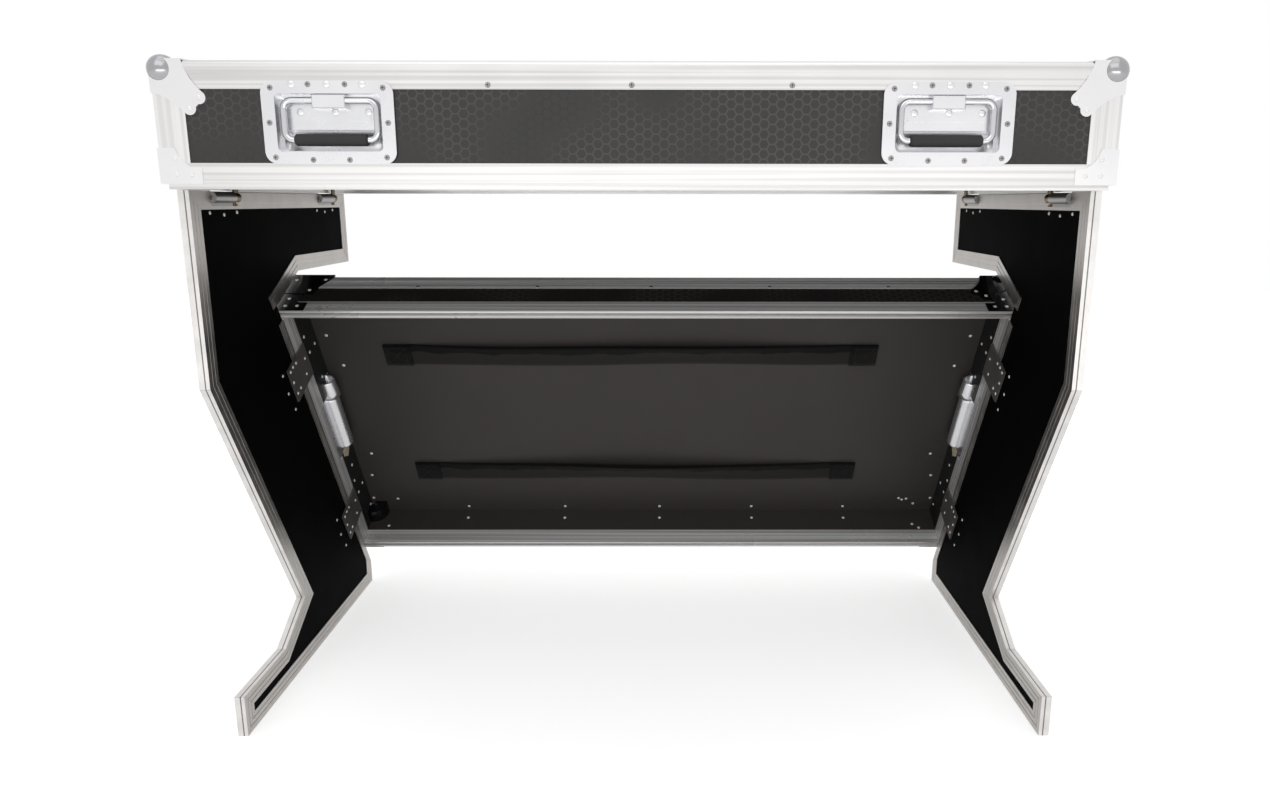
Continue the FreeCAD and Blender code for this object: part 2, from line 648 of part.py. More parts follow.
for side, name in ((-1, "left"), (1, "right")):
    inner_x = "%d * (table_width / 2 - board - 2 * rail_wall)" % side
    low_x = "-table_width / 2" if side < 0 else inner_x
    hinge_starts = ("(leg_rear + hinge_rear_inset)", "(%s - hinge_front_inset)" % leg_front)
    body = doc.addObject("PartDesign::Body", name + "_board")
    sketch = outline_sketch(body, leg_corners)
    sketch.setExpression(".AttachmentOffset.Base.z", bound(low_x + " + rail_wall"))
    pad = body.newObject("PartDesign::Pad", "pad")
    pad.Profile = sketch
    pad.setExpression("Length", bound("board"))
    doc.recompute()
    notch = ["board + 4 * rail_wall", "knuckle_length + lug_width + 2 * hinge_play", "2 * notch_depth"]
    notches = [block([low_x + " - rail_wall", start, top_z + " + rail_wall - notch_depth"], notch)
               for start in hinge_starts]
    node(name + "_leg_panel", [cut(body, notches)], "tray")

    corners = [Vector(edge.StartPoint.x, edge.StartPoint.y, 0) for edge in sketch.Geometry]
    start_x = -width / 2 if side < 0 else width / 2 - thick
    pieces = leg_edging(corners, start_x)
    doc.recompute()
    bites = [notch.Shape for notch in notches]
    upper, toward = corners[rim_side + 1], (corners[rim_side] - corners[rim_side + 1]).normalize()
    across = Vector(-toward.y, toward.x, 0) * (val("rim_channel_flange") + 2 * wall)
    bare = toward * val("rim_channel_start")
    strip = [upper + across, upper + bare + across, upper + bare - across, upper - across]
    edging = []
    for i, piece in enumerate(pieces):
        if i == rim_side:
            piece = piece.cut(prism(strip, start_x - 1, thick + 2))
        if i == len(pieces) - 1:
            piece = piece.cut(Part.makeCompound(bites))
        edging.extend(piece.Solids)
    feature(name + "_leg_edging", Part.makeCompound(edging), "tray")

    axis_z = "table_height - tray_height - tongue_height - joint_gap - hinge_drop"
    knuckles, pins, lugs = [], [], []
    for start in hinge_starts:
        barrel = rod("y", [inner_x, start, axis_z], "knuckle_radius", "knuckle_length")
        outer = low_x if side < 0 else inner_x
        leaf = block([outer, start, axis_z + " - notch_depth + hinge_drop"],
                     ["board + 2 * rail_wall", "knuckle_length", "notch_depth - hinge_drop + knuckle_radius"])
        bore = rod("y", [inner_x, start + " - 1", axis_z], "pin_radius + pin_fit", "knuckle_length + 2")
        knuckles.append(cut(fused([barrel, leaf]), [bore]))
        pins.append(rod("y", [inner_x, start + " + rail_wall", axis_z], "pin_radius",
                        "knuckle_length + lug_width + 2 * hinge_play - 2 * rail_wall"))
        lug_y = start + " + knuckle_length + hinge_play"
        eye = rod("y", [inner_x, lug_y, axis_z], "lug_radius", "lug_width")
        leaf_x = inner_x if side < 0 else inner_x + " - 2 * rail_wall"
        neck = block([leaf_x, lug_y, axis_z], ["2 * rail_wall", "lug_width", "lug_leaf + hinge_drop"])
        hole = rod("y", [inner_x, lug_y + " - 1", axis_z], "pin_radius + pin_fit", "lug_width + 2")
        lugs.append(cut(fused([eye, neck]), [hole]))
    node(name + "_hinge_knuckles", knuckles, "tray")
    node(name + "_hinge_pins", pins, "tray")
    node(name + "_hinge_lugs", lugs, "tray")

    plate_x = inner_x if side < 0 else inner_x + " - plate_thickness"
    plates = [block([plate_x, start, "-plate_on_leg"],
                    ["plate_thickness", "plate_length", "plate_on_leg + plate_on_shell"])
              for start in ("plate_upper", "table_depth - plate_lower")]
    node(name + "_joint_plates", plates, "shell")

# Front shell: boards and rails about an open box whose rim lies on the legs.
deep = val("shell_depth")
groove = val("groove_depth")
groove_in = tongue_in - val("groove_play")
groove_out = tongue_out + val("groove_play")
inner = thick - clear
board_low = "groove_depth + rail_wall"
castor_span = "(castor_width + 2 * castor_room + 2 * rail_wall)"
castor_starts = [skin, "table_depth - %s - %s" % (skin, castor_span)]


def castor_cavity(start):
    inside = "castor_radius - castor_reach"
    return rod("y", ["-%s + %s" % (half, inside), start, "shell_depth - (%s)" % inside],
               "castor_radius + castor_room + rail_wall", castor_span)


back_board = panel(["-" + half + " + " + skin, skin, "shell_depth - " + skin],
                   ["table_width - 2 * " + skin, "table_depth - 2 * " + skin, "board"])
node("shell_back_panel", [cut(back_board, [castor_cavity(start) for start in castor_starts])], "shell")
tall = "shell_depth - rail_wall - (%s)" % board_low
for label, start in (("shell_top_panel", "rail_wall"), ("shell_bottom_panel", "table_depth - " + skin)):
    node(label, [panel(["-" + half + " + rail_wall", start, board_low],
                       ["table_width - 2 * rail_wall", "board", tall])], "shell")
end_windows = []
for side, name in ((-1, "left"), (1, "right")):
    start = "-" + half + " + rail_wall" if side < 0 else half + " - " + skin
    side_board = panel([start, skin, board_low], ["board", "table_depth - 2 * " + skin, tall])
    window = block([start + " - board", "table_depth / 2 - pan_width / 2 - rail_wall",
                    "end_handle_margin + pan_margin - rail_wall"],
                   ["3 * board", "pan_width + 2 * rail_wall",
                    "shell_depth - 2 * end_handle_margin - 2 * pan_margin + 2 * rail_wall"])
    end_windows.append(window)
    tools = [window]
    if side < 0:
        tools += [castor_cavity(spot) for spot in castor_starts]
    node("shell_%s_panel" % name, [cut(side_board, tools)], "shell")

inner_flange = val("shell_inner_flange")
shell_rim = [(0, rim), (0, 0), (groove_in, 0), (groove_in, groove), (groove_out, groove), (groove_out, 0),
             (inner, 0), (inner, inner_flange), (inner - wall + clear, inner_flange),
             (inner - wall + clear, groove + wall), (wall, groove + wall), (wall, rim)]
cavities = [castor_cavity(start) for start in castor_starts]
doc.recompute()
pans = Part.makeCompound([window.Shape for window in end_windows])
wells = Part.makeCompound([cavity.Shape for cavity in cavities])


def cleared(shapes, tools):
    return Part.makeCompound([solid for shape in shapes for solid in shape.cut(tools).Solids])


feature("shell_rim_rails", cleared(mitred_frame(shell_rim).Solids, pans), "shell")
feature("shell_back_rails", cleared(cleared(edge_rails(deep).Solids, wells).Solids, pans), "shell")
feature("shell_corner_posts", cleared(corner_posts(rim, deep - flange), wells), "shell")
feature("shell_ball_corners", at_corners(ball_corner(val("shell_ball_radius")), deep, (1, 2)), "shell")
feature("shell_rim_braces", at_corners(corner_brace(), 0, range(4)), "shell")

for side, name in ((-1, "shell_left_handle"), (1, "shell_right_handle")):
    turn = Rotation(Vector(0, -side, 0), Vector(-side, 0, 0), Vector(0, 0, -1), "ZYX")
    spot = Placement(Vector(side * width / 2, depth / 2, deep / 2), turn)
    add_handle(name, deep - 2 * val("end_handle_margin"), spot, "shell", val("trough_sunk"), side)

# Tilt wheels let into the left end, to roll the closed case. Each turns in a
# round well under a bracket of three leaves with a domed corner.
radius = val("castor_radius")
well = radius + val("castor_room")
wheel_x = -width / 2 + radius - val("castor_reach")
wheel_z = deep - radius + val("castor_reach")
long, drop, end = val("bracket_length"), val("bracket_drop"), val("bracket_end")
left = -width / 2
top_leaf = [(-wall, -wall), (long, -wall), (long, 0.1 * drop), (0.78 * long, 0.6 * drop), (0.7 * long, drop),
            (-wall, drop)]
back_leaf = [(-wall, -wall), (long, -wall), (0.85 * long, 0.8 * end), (0.7 * long, end), (-wall, end)]
end_leaf = [(-wall, -wall), (drop, -wall), (drop, 0.5 * end), (0.7 * drop, end), (-wall, end)]
leaves = [polygon_face([Vector(left + u, -wall, deep - v) for u, v in top_leaf]).extrude(Vector(0, wall, 0)),
          polygon_face([Vector(left + u, w, deep) for u, w in back_leaf]).extrude(Vector(0, 0, wall)),
          polygon_face([Vector(left - wall, w, deep - v) for v, w in end_leaf]).extrude(Vector(wall, 0, 0))]
case = Part.makeBox(width, depth, deep, Vector(left, 0, 0))
inset = val("hump_inset")
hump = Part.makeSphere(val("hump_radius"), Vector(left + inset, inset, deep - inset)).cut(case)
first = cavities[0].Shape.BoundBox
span = first.YLength
middle = (first.YMin + first.YMax) / 2


def about_axle(size, length):
    return Part.makeCylinder(size, length, Vector(wheel_x, middle - length / 2, wheel_z), Vector(0, 1, 0))


pan = cavities[0].Shape.common(case).cut(about_axle(well, span - 2 * wall))
bracket = pan.multiFuse(leaves + [hump]).cut(about_axle(well, span - 2 * wall))
axle = about_axle(val("axle_radius"), span)
bracket = bracket.cut(axle).removeSplitter()
broad = val("castor_width")
hub = val("axle_radius") + val("pin_fit")
crown = val("castor_crown")
profile = [(hub, -broad / 2), (radius - crown, -broad / 2), (radius, -broad / 2 + crown),
           (radius, broad / 2 - crown), (radius - crown, broad / 2), (hub, broad / 2)]
profile = [Vector(out, along, 0) for out, along in profile]
tyre = polygon_face(profile).revolve(Vector(), Vector(0, 1, 0), 360)
tyre.translate(Vector(wheel_x, middle, wheel_z))


def both_ends(shape):
    return [shape, shape.mirror(Vector(0, depth / 2, 0), Vector(0, 1, 0))]


for name, shape, along in zip(("upper", "lower"), both_ends(tyre), (middle, depth - middle)):
    feature(name + "_tilt_wheel", shape, "shell")
    tell(name + " wheel", in_table(wheel_x, along, wheel_z))
feature("tilt_wheel_housings", Part.makeCompound(both_ends(bracket)), "shell")
feature("tilt_wheel_axles", Part.makeCompound(both_ends(axle)), "shell")

# Webbing straps across the shell's floor, slack between sewn ends.
floor_z = deep - wall - board
left = -width / 2 + val("strap_left")
right = width / 2 - val("strap_right")
rise = val("strap_rise")
cloth = val("strap_thickness")
long = val("anchor_length")
steps = [0, 0.12, 0.3, 0.48, 0.66, 0.84, 1]
straps = [("upper", val("strap_upper"), [0.1, 0.6, 0.3, 1, 0.3, 0.8, 0.1]),
          ("lower", depth - val("strap_lower"), [0.1, 0.8, 0.3, 0.7, 0.4, 1, 0.1])]
anchors = []
for name, start, waves in straps:
    under = [Vector(left + (right - left) * share, start, floor_z - wave * rise)
             for share, wave in zip(steps, waves)]
    over = [point - Vector(0, 0, cloth) for point in under]
    curves = []
    for points in (under, over):
        curve = Part.BSplineCurve()
        curve.interpolate(points)
        curves.append(curve.toShape())
    outline = Part.Wire([curves[0], line(under[-1], over[-1]), curves[1], line(over[0], under[0])])
    feature("shell_%s_strap" % name, Part.Face(outline).extrude(Vector(0, val("strap_width"), 0)), "shell")
    for edge in (left - long, right):
        anchors.append(Part.makeBox(long, val("strap_width"), val("anchor_thickness"),
                                    Vector(edge, start, floor_z - val("anchor_thickness"))))
feature("strap_anchors", Part.makeCompound(anchors), "shell")

doc.recompute()
for item in doc.Objects:
    if "Invalid" in item.State or "Error" in item.State:
        raise RuntimeError("failed: " + item.Label)
for part in nodes:
    if part.Shape.isNull() or not part.Shape.isValid():
        raise RuntimeError("bad shape: " + part.Label)
os.makedirs("parts", exist_ok=True)
span = None
for part in nodes:
    part.Shape.exportStep("parts/%s.step" % part.Label)
    box = part.Shape.BoundBox
    if span is None:
        span = FreeCAD.BoundBox(box)
    else:
        span.add(box)
corners = (span.XMin, span.XMax, span.YMin, span.YMax, span.ZMin, span.ZMax)
print(len(nodes), "nodes", "box", [round(c, 2) for c in corners], "lean", round(math.degrees(lean), 4))
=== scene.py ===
import math
import bmesh
import bpy
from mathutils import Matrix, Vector


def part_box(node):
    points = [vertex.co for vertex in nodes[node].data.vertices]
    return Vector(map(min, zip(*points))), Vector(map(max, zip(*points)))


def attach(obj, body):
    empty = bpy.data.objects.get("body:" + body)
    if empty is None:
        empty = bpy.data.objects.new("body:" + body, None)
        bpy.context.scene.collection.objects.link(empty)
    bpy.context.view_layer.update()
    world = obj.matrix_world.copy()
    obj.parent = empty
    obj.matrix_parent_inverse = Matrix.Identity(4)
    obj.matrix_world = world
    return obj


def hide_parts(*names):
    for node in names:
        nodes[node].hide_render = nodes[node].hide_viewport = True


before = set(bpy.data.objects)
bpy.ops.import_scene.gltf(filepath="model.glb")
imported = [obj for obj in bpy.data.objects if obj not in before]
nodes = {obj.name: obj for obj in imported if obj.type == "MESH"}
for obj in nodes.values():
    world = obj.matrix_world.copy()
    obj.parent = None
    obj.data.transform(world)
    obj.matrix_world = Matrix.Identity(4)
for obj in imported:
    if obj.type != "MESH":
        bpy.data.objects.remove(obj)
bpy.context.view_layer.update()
mm = 0.001
print("frame loaded:", len(nodes), "nodes")


def boxMm(name):
    low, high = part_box(name)
    return Vector(low) / mm, Vector(high) / mm


# Sizes in millimetres, read from the frame. Depths on the table count from the tray's rear face.
# The shell has its own frame: y runs down its rim and z from the rim to its back.
railLow, railHigh = boxMm("tray_edge_rails")
rimLow = boxMm("shell_rim_rails")[0]
upperHub = sum(boxMm("upper_tilt_wheel"), Vector()) / 2
lowerHub = sum(boxMm("lower_tilt_wheel"), Vector()) / 2
lean = math.atan2(lowerHub.y - upperHub.y, upperHub.z - lowerHub.z)  # the shell's lean from upright
booth = {"width": railHigh.x - railLow.x, "depth": railHigh.y - railLow.y, "height": railHigh.z,
         "trayHeight": 150.0, "shellDepth": 100.0,
         "wall": 1.5, "railStep": 0.5,  # a rail's thickness and the step in its face
         "skin": 13.5, "plate": 3.0}  # a rail's wall with its board, and a joint plate
halfWidth = booth["width"] / 2
squareOn = 0.7  # a face looks along an axis when its normal has more than this of it
along = Vector((0, math.sin(lean), -math.cos(lean)))
outward = Vector((0, math.cos(lean), math.sin(lean)))
rimTop = Vector((0, rimLow.y, rimLow.z + booth["depth"] * math.cos(lean)))


def trayPoint(x, y, z):
    return Vector((x, y + railLow.y, z)) * mm


def shellPoint(x, y, z):
    return (Vector((x, 0, 0)) + rimTop + along * y + outward * z) * mm


def colour(text):
    parts = [int(text[i:i + 2], 16) / 255 for i in (1, 3, 5)]
    return tuple(c / 12.92 if c < 0.04045 else ((c + 0.055) / 1.055) ** 2.4 for c in parts) + (1.0,)


# Inputs go by name or by place. In a mix node 0 is the factor, 2 and 3 are numbers, 4 and 5 vectors
# and 6 and 7 colours.
def addNode(tree, kind, inputs=None, **settings):
    node = tree.nodes.new(kind)
    for key, value in settings.items():
        setattr(node, key, value)
    for key, value in (inputs or {}).items():
        if isinstance(value, bpy.types.Node):
            value = next(socket for socket in value.outputs if socket.enabled)
        if isinstance(value, bpy.types.NodeSocket):
            tree.links.new(value, node.inputs[key])
        else:
            node.inputs[key].default_value = value
    return node


def newMaterial(name):
    material = bpy.data.materials.new(name)
    material.use_nodes = True
    material.node_tree.nodes.clear()
    return material, material.node_tree


def setSurface(tree, inputs):
    shader = addNode(tree, "ShaderNodeBsdfPrincipled", inputs)
    addNode(tree, "ShaderNodeOutputMaterial", {"Surface": shader})


# Object coordinates in millimetres about the table's middle, or in the shell's own frame, and the
# face's normal in the same frame.
def localFrame(tree, onShell):
    middle = booth["depth"] / 2
    centre = shellPoint(0, middle, 0) if onShell else trayPoint(0, middle, 0)
    given = addNode(tree, "ShaderNodeTexCoord").outputs
    point = addNode(tree, "ShaderNodeVectorMath", {0: given["Object"], 1: centre}, operation="SUBTRACT")
    point = addNode(tree, "ShaderNodeVectorMath", {0: point, "Scale": 1 / mm}, operation="SCALE")
    if not onShell:
        return point, given["Normal"]
    turn = {"Axis": (1.0, 0.0, 0.0), "Angle": math.radians(90) - lean}
    return [addNode(tree, "ShaderNodeVectorRotate", {"Vector": each, **turn}, rotation_type="AXIS_ANGLE")
            for each in (point, given["Normal"])]


drawn = {"lineMm": 1.1, "sheenBandMm": 5.0, "sheenBandFrom": 0.38, "sheenBandTo": 0.62, "lineShare": 0.35, "stretch": 0.004,
         "handledMm": 80.0, "roughSpread": 0.16}


# Drawn aluminium: pale satin metal. The die leaves fine lines along each rail, drawn about three
# times too coarse so that they show, and broader bands painted paler and darker by turns, a painted
# sheen in place of the reflections that run along a rail.
def drawnAluminium(name, bright, dull, metal, roughness, onShell=False, upright=False):
    material, tree = newMaterial(name)
    point = localFrame(tree, onShell)[0]
    stretch = drawn["stretch"]
    if upright:
        run = addNode(tree, "ShaderNodeMapping", {"Vector": point, "Scale": (1.0, 1.0, stretch)})
    else:
        axes = addNode(tree, "ShaderNodeSeparateXYZ", {0: point}).outputs
        fromEnd = addNode(tree, "ShaderNodeMath", {0: axes[0]}, operation="ABSOLUTE")
        fromEnd = addNode(tree, "ShaderNodeMath", {0: halfWidth, 1: fromEnd}, operation="SUBTRACT")
        fromSide = addNode(tree, "ShaderNodeMath", {0: axes[1]}, operation="ABSOLUTE")
        fromSide = addNode(tree, "ShaderNodeMath", {0: booth["depth"] / 2, 1: fromSide}, operation="SUBTRACT")
        onEnd = addNode(tree, "ShaderNodeMath", {0: fromEnd, 1: fromSide}, operation="LESS_THAN")
        alongX = addNode(tree, "ShaderNodeMapping", {"Vector": point, "Scale": (stretch, 1.0, 1.0)})
        alongY = addNode(tree, "ShaderNodeMapping", {"Vector": point, "Scale": (1.0, stretch, 1.0)})
        run = addNode(tree, "ShaderNodeMix", {0: onEnd, 4: alongX, 5: alongY}, data_type="VECTOR")
    lines = addNode(tree, "ShaderNodeTexNoise", {"Vector": run, "Scale": 1 / drawn["lineMm"], "Detail": 2.0})
    # painted sheen: broad bands along the rail, paler and darker by turns
    sheenBands = addNode(tree, "ShaderNodeTexNoise", {"Vector": run, "Scale": 1 / drawn["sheenBandMm"], "Detail": 1.0})
    sheenBands = addNode(tree, "ShaderNodeMapRange", {0: sheenBands, 1: drawn["sheenBandFrom"], 2: drawn["sheenBandTo"]},
                    interpolation_type="SMOOTHSTEP")
    lineAndSheen = addNode(tree, "ShaderNodeMath", {0: lines, 1: drawn["lineShare"]}, operation="MULTIPLY")
    lineAndSheen = addNode(tree, "ShaderNodeMath", {0: sheenBands, 1: 1 - drawn["lineShare"], 2: lineAndSheen}, operation="MULTIPLY_ADD")
    tint = addNode(tree, "ShaderNodeMix", {0: lineAndSheen, 6: colour(dull), 7: colour(bright)}, data_type="RGBA")
    handled = addNode(tree, "ShaderNodeTexNoise", {"Vector": point, "Scale": 1 / drawn["handledMm"], "Detail": 4.0})
    spread = drawn["roughSpread"]
    rough = addNode(tree, "ShaderNodeMath", {0: handled, 1: spread, 2: roughness - spread / 2},
                    operation="MULTIPLY_ADD")
    bump = addNode(tree, "ShaderNodeBump", {"Height": lines, "Strength": 0.05, "Distance": 0.0004})
    setSurface(tree, {"Base Color": tint, "Metallic": metal, "Roughness": rough, "Normal": bump})
    return material


mill = {"bloomMm": 30.0, "grainMm": 1.4, "grooveIn": 9.0, "grooveHalf": 0.9, "grooveShadeHex": "#7a7774",
        "bloomFrom": 0.3, "bloomTo": 0.7, "bloomDark": 0.82}


# Mill-finish channel on the legs: a cloudy bloom, painted shade on the broad flanges that face sideways,
# standing in for the dark they would mirror, and a thin line of painted shade down the middle of the edge
# where its groove runs.
def millAluminium(name, edge, flangeShade):
    material, tree = newMaterial(name)
    point, normal = localFrame(tree, False)
    # painted shade: faces whose normal runs sideways get the darker colour
    across = addNode(tree, "ShaderNodeSeparateXYZ", {0: normal}).outputs[0]
    flangeShadeMask = addNode(tree, "ShaderNodeMath", {0: across}, operation="ABSOLUTE")
    flangeShadeMask = addNode(tree, "ShaderNodeMath", {0: flangeShadeMask, 1: squareOn}, operation="GREATER_THAN")
    bloom = addNode(tree, "ShaderNodeTexNoise", {"Vector": point, "Scale": 1 / mill["bloomMm"], "Detail": 5.0})
    grain = addNode(tree, "ShaderNodeTexNoise", {"Vector": point, "Scale": 1 / mill["grainMm"], "Detail": 2.0})
    tint = addNode(tree, "ShaderNodeMix", {0: flangeShadeMask, 6: colour(edge), 7: colour(flangeShade)}, data_type="RGBA")
    aside = addNode(tree, "ShaderNodeVectorMath", {0: point}, operation="ABSOLUTE")
    aside = addNode(tree, "ShaderNodeSeparateXYZ", {0: aside}).outputs[0]
    # painted shade: a thin dark line where the groove runs
    grooveShade = addNode(tree, "ShaderNodeMath", {0: aside, 1: halfWidth - mill["grooveIn"], 2: mill["grooveHalf"]},
                     operation="COMPARE")
    tint = addNode(tree, "ShaderNodeMix", {0: grooveShade, 6: tint, 7: colour(mill["grooveShadeHex"])}, data_type="RGBA")
    cloud = addNode(tree, "ShaderNodeMapRange", {0: bloom, 1: mill["bloomFrom"], 2: mill["bloomTo"],
                                                  3: mill["bloomDark"], 4: 1.0})
    tint = addNode(tree, "ShaderNodeVectorMath", {0: tint, "Scale": cloud}, operation="SCALE")
    rough = addNode(tree, "ShaderNodeMath", {0: bloom, 1: 0.2, 2: 0.28}, operation="MULTIPLY_ADD")
    bump = addNode(tree, "ShaderNodeBump", {"Height": grain, "Strength": 0.05, "Distance": 0.0003})
    setSurface(tree, {"Base Color": tint, "Metallic": 0.92, "Roughness": rough, "Normal": bump})
    return material


laminate = {"flatsMm": 12.1, "ridgeFrom": 0.40, "ridgeTo": 0.45, "cell": "#292726", "sheenDarkNet": "#171615",
            "sheenPaleNet": "#423f3e", "sheenMm": 170.0, "sheenFrom": 0.4, "sheenTo": 0.6,
            "plyPale": "#c3a87c", "plyDark": "#957650", "layerMm": 1.5, "grainMm": 0.7, "cloudMm": 60.0}


# Phenolic laminate on birch ply: an embossed hexagon net on the outer face, painted darker or paler than
# its cells by a slow noise as a painted sheen in place of its wandering gloss, a plain dull dark inner
# face in a tone each board gives, and sawn edges in layers.
def hexLaminate(name, onShell, centre, innerHex, gloss=0.5, roughness=0.5, sawnEdges=False):
    material, tree = newMaterial(name)
    point, normal = localFrame(tree, onShell)
    axes = addNode(tree, "ShaderNodeSeparateXYZ", {0: point}).outputs
    facing = addNode(tree, "ShaderNodeVectorMath", {0: normal}, operation="ABSOLUTE")
    facing = addNode(tree, "ShaderNodeSeparateXYZ", {0: facing}).outputs
    fromCentre = addNode(tree, "ShaderNodeVectorMath", {0: point, 1: centre}, operation="SUBTRACT")
    outer = addNode(tree, "ShaderNodeVectorMath", {0: normal, 1: fromCentre}, operation="DOT_PRODUCT")
    outer = addNode(tree, "ShaderNodeMath", {0: outer.outputs["Value"], 1: 0.0}, operation="GREATER_THAN")
    onEnd = addNode(tree, "ShaderNodeMath", {0: facing[0], 1: squareOn}, operation="GREATER_THAN")
    onTop = addNode(tree, "ShaderNodeMath", {0: facing[2], 1: squareOn}, operation="GREATER_THAN")
    across = addNode(tree, "ShaderNodeMix", {0: onEnd, 2: axes[0], 3: axes[1]})
    upward = addNode(tree, "ShaderNodeMix", {0: onTop, 2: axes[2], 3: axes[1]})
    flat = addNode(tree, "ShaderNodeCombineXYZ", {0: across, 1: upward})
    flat = addNode(tree, "ShaderNodeVectorMath", {0: flat, "Scale": 1 / laminate["flatsMm"]}, operation="SCALE")
    step = Vector((math.sqrt(3), 1, 1))
    edges = []
    for shift in (Vector(), step / 2):  # two sets of cells, half a step apart
        moved = addNode(tree, "ShaderNodeVectorMath", {0: flat, 1: shift}, operation="SUBTRACT")
        cell = addNode(tree, "ShaderNodeVectorMath", {0: moved, 1: step / 2, 2: -step / 2}, operation="WRAP")
        cell = addNode(tree, "ShaderNodeVectorMath", {0: cell}, operation="ABSOLUTE")
        part = addNode(tree, "ShaderNodeSeparateXYZ", {0: cell}).outputs
        slope = addNode(tree, "ShaderNodeMath", {0: part[1], 1: 0.5}, operation="MULTIPLY")
        slope = addNode(tree, "ShaderNodeMath", {0: part[0], 1: math.sqrt(0.75), 2: slope},
                        operation="MULTIPLY_ADD")
        edges.append(addNode(tree, "ShaderNodeMath", {0: part[1], 1: slope}, operation="MAXIMUM"))
    edge = addNode(tree, "ShaderNodeMath", {0: edges[0], 1: edges[1]}, operation="MINIMUM")
    ridge = addNode(tree, "ShaderNodeMapRange", {0: edge, 1: laminate["ridgeFrom"], 2: laminate["ridgeTo"]},
                    interpolation_type="SMOOTHSTEP")
    ridge = addNode(tree, "ShaderNodeMath", {0: ridge, 1: outer}, operation="MULTIPLY")
    # painted sheen: the net turns darker or paler than its cells by a slow noise
    sheenSwing = addNode(tree, "ShaderNodeTexNoise", {"Vector": point, "Scale": 1 / laminate["sheenMm"], "Detail": 1.0})
    sheenSwing = addNode(tree, "ShaderNodeMapRange", {0: sheenSwing, 1: laminate["sheenFrom"], 2: laminate["sheenTo"]},
                    interpolation_type="SMOOTHSTEP")
    sheenDarkNet, sheenPaleNet, cell = (colour(laminate[key]) for key in ("sheenDarkNet", "sheenPaleNet", "cell"))
    net = addNode(tree, "ShaderNodeMix", {0: sheenSwing, 6: sheenDarkNet, 7: sheenPaleNet}, data_type="RGBA")
    tint = addNode(tree, "ShaderNodeMix", {0: outer, 6: colour(innerHex), 7: cell}, data_type="RGBA")
    tint = addNode(tree, "ShaderNodeMix", {0: ridge, 6: tint, 7: net}, data_type="RGBA")
    if sawnEdges:
        sawn = addNode(tree, "ShaderNodeMath", {0: facing[0], 1: 0.5}, operation="LESS_THAN")
        layer = addNode(tree, "ShaderNodeMath", {0: axes[0], 1: laminate["layerMm"]}, operation="PINGPONG")
        layer = addNode(tree, "ShaderNodeMath", {0: layer, 1: laminate["layerMm"] / 2}, operation="GREATER_THAN")
        plyDark, plyPale = colour(laminate["plyDark"]), colour(laminate["plyPale"])
        ply = addNode(tree, "ShaderNodeMix", {0: layer, 6: plyDark, 7: plyPale}, data_type="RGBA")
        tint = addNode(tree, "ShaderNodeMix", {0: sawn, 6: tint, 7: ply}, data_type="RGBA")
    grain = addNode(tree, "ShaderNodeTexNoise", {"Vector": point, "Scale": 1 / laminate["grainMm"], "Detail": 2.0})
    cloud = addNode(tree, "ShaderNodeTexNoise", {"Vector": point, "Scale": 1 / laminate["cloudMm"], "Detail": 3.0})
    rough = addNode(tree, "ShaderNodeMath", {0: ridge, 1: -0.14, 2: roughness}, operation="MULTIPLY_ADD")
    rough = addNode(tree, "ShaderNodeMath", {0: cloud, 1: 0.12, 2: rough}, operation="MULTIPLY_ADD")
    height = addNode(tree, "ShaderNodeMath", {0: grain, 1: 0.25, 2: ridge}, operation="MULTIPLY_ADD")
    bump = addNode(tree, "ShaderNodeBump", {"Height": height, "Strength": 0.2, "Distance": 0.0003})
    setSurface(tree, {"Base Color": tint, "Roughness": rough, "Normal": bump, "Specular IOR Level": gloss})
    return material


# Pressed, plated, painted and moulded pieces: one colour with a slow cloud in tone and gloss, and a
# fine grain whose size and strength suit the finish.
def plainFinish(name, full, dull, metal, roughness, cloudMm, grainMm, bumpy, coat=0.0):
    material, tree = newMaterial(name)
    point = localFrame(tree, False)[0]
    cloud = addNode(tree, "ShaderNodeTexNoise", {"Vector": point, "Scale": 1 / cloudMm, "Detail": 4.0})
    grain = addNode(tree, "ShaderNodeTexNoise", {"Vector": point, "Scale": 1 / grainMm, "Detail": 2.0})
    tint = addNode(tree, "ShaderNodeMix", {0: cloud, 6: colour(dull), 7: colour(full)}, data_type="RGBA")
    rough = addNode(tree, "ShaderNodeMath", {0: cloud, 1: 0.12, 2: roughness - 0.06}, operation="MULTIPLY_ADD")
    bump = addNode(tree, "ShaderNodeBump", {"Height": grain, "Strength": bumpy, "Distance": 0.0004})
    setSurface(tree, {"Base Color": tint, "Metallic": metal, "Roughness": rough, "Normal": bump,
                      "Coat Weight": coat})
    return material


cornerBall = {"inset": 10.3, "radius": 18.6, "cloudMm": 40.0}


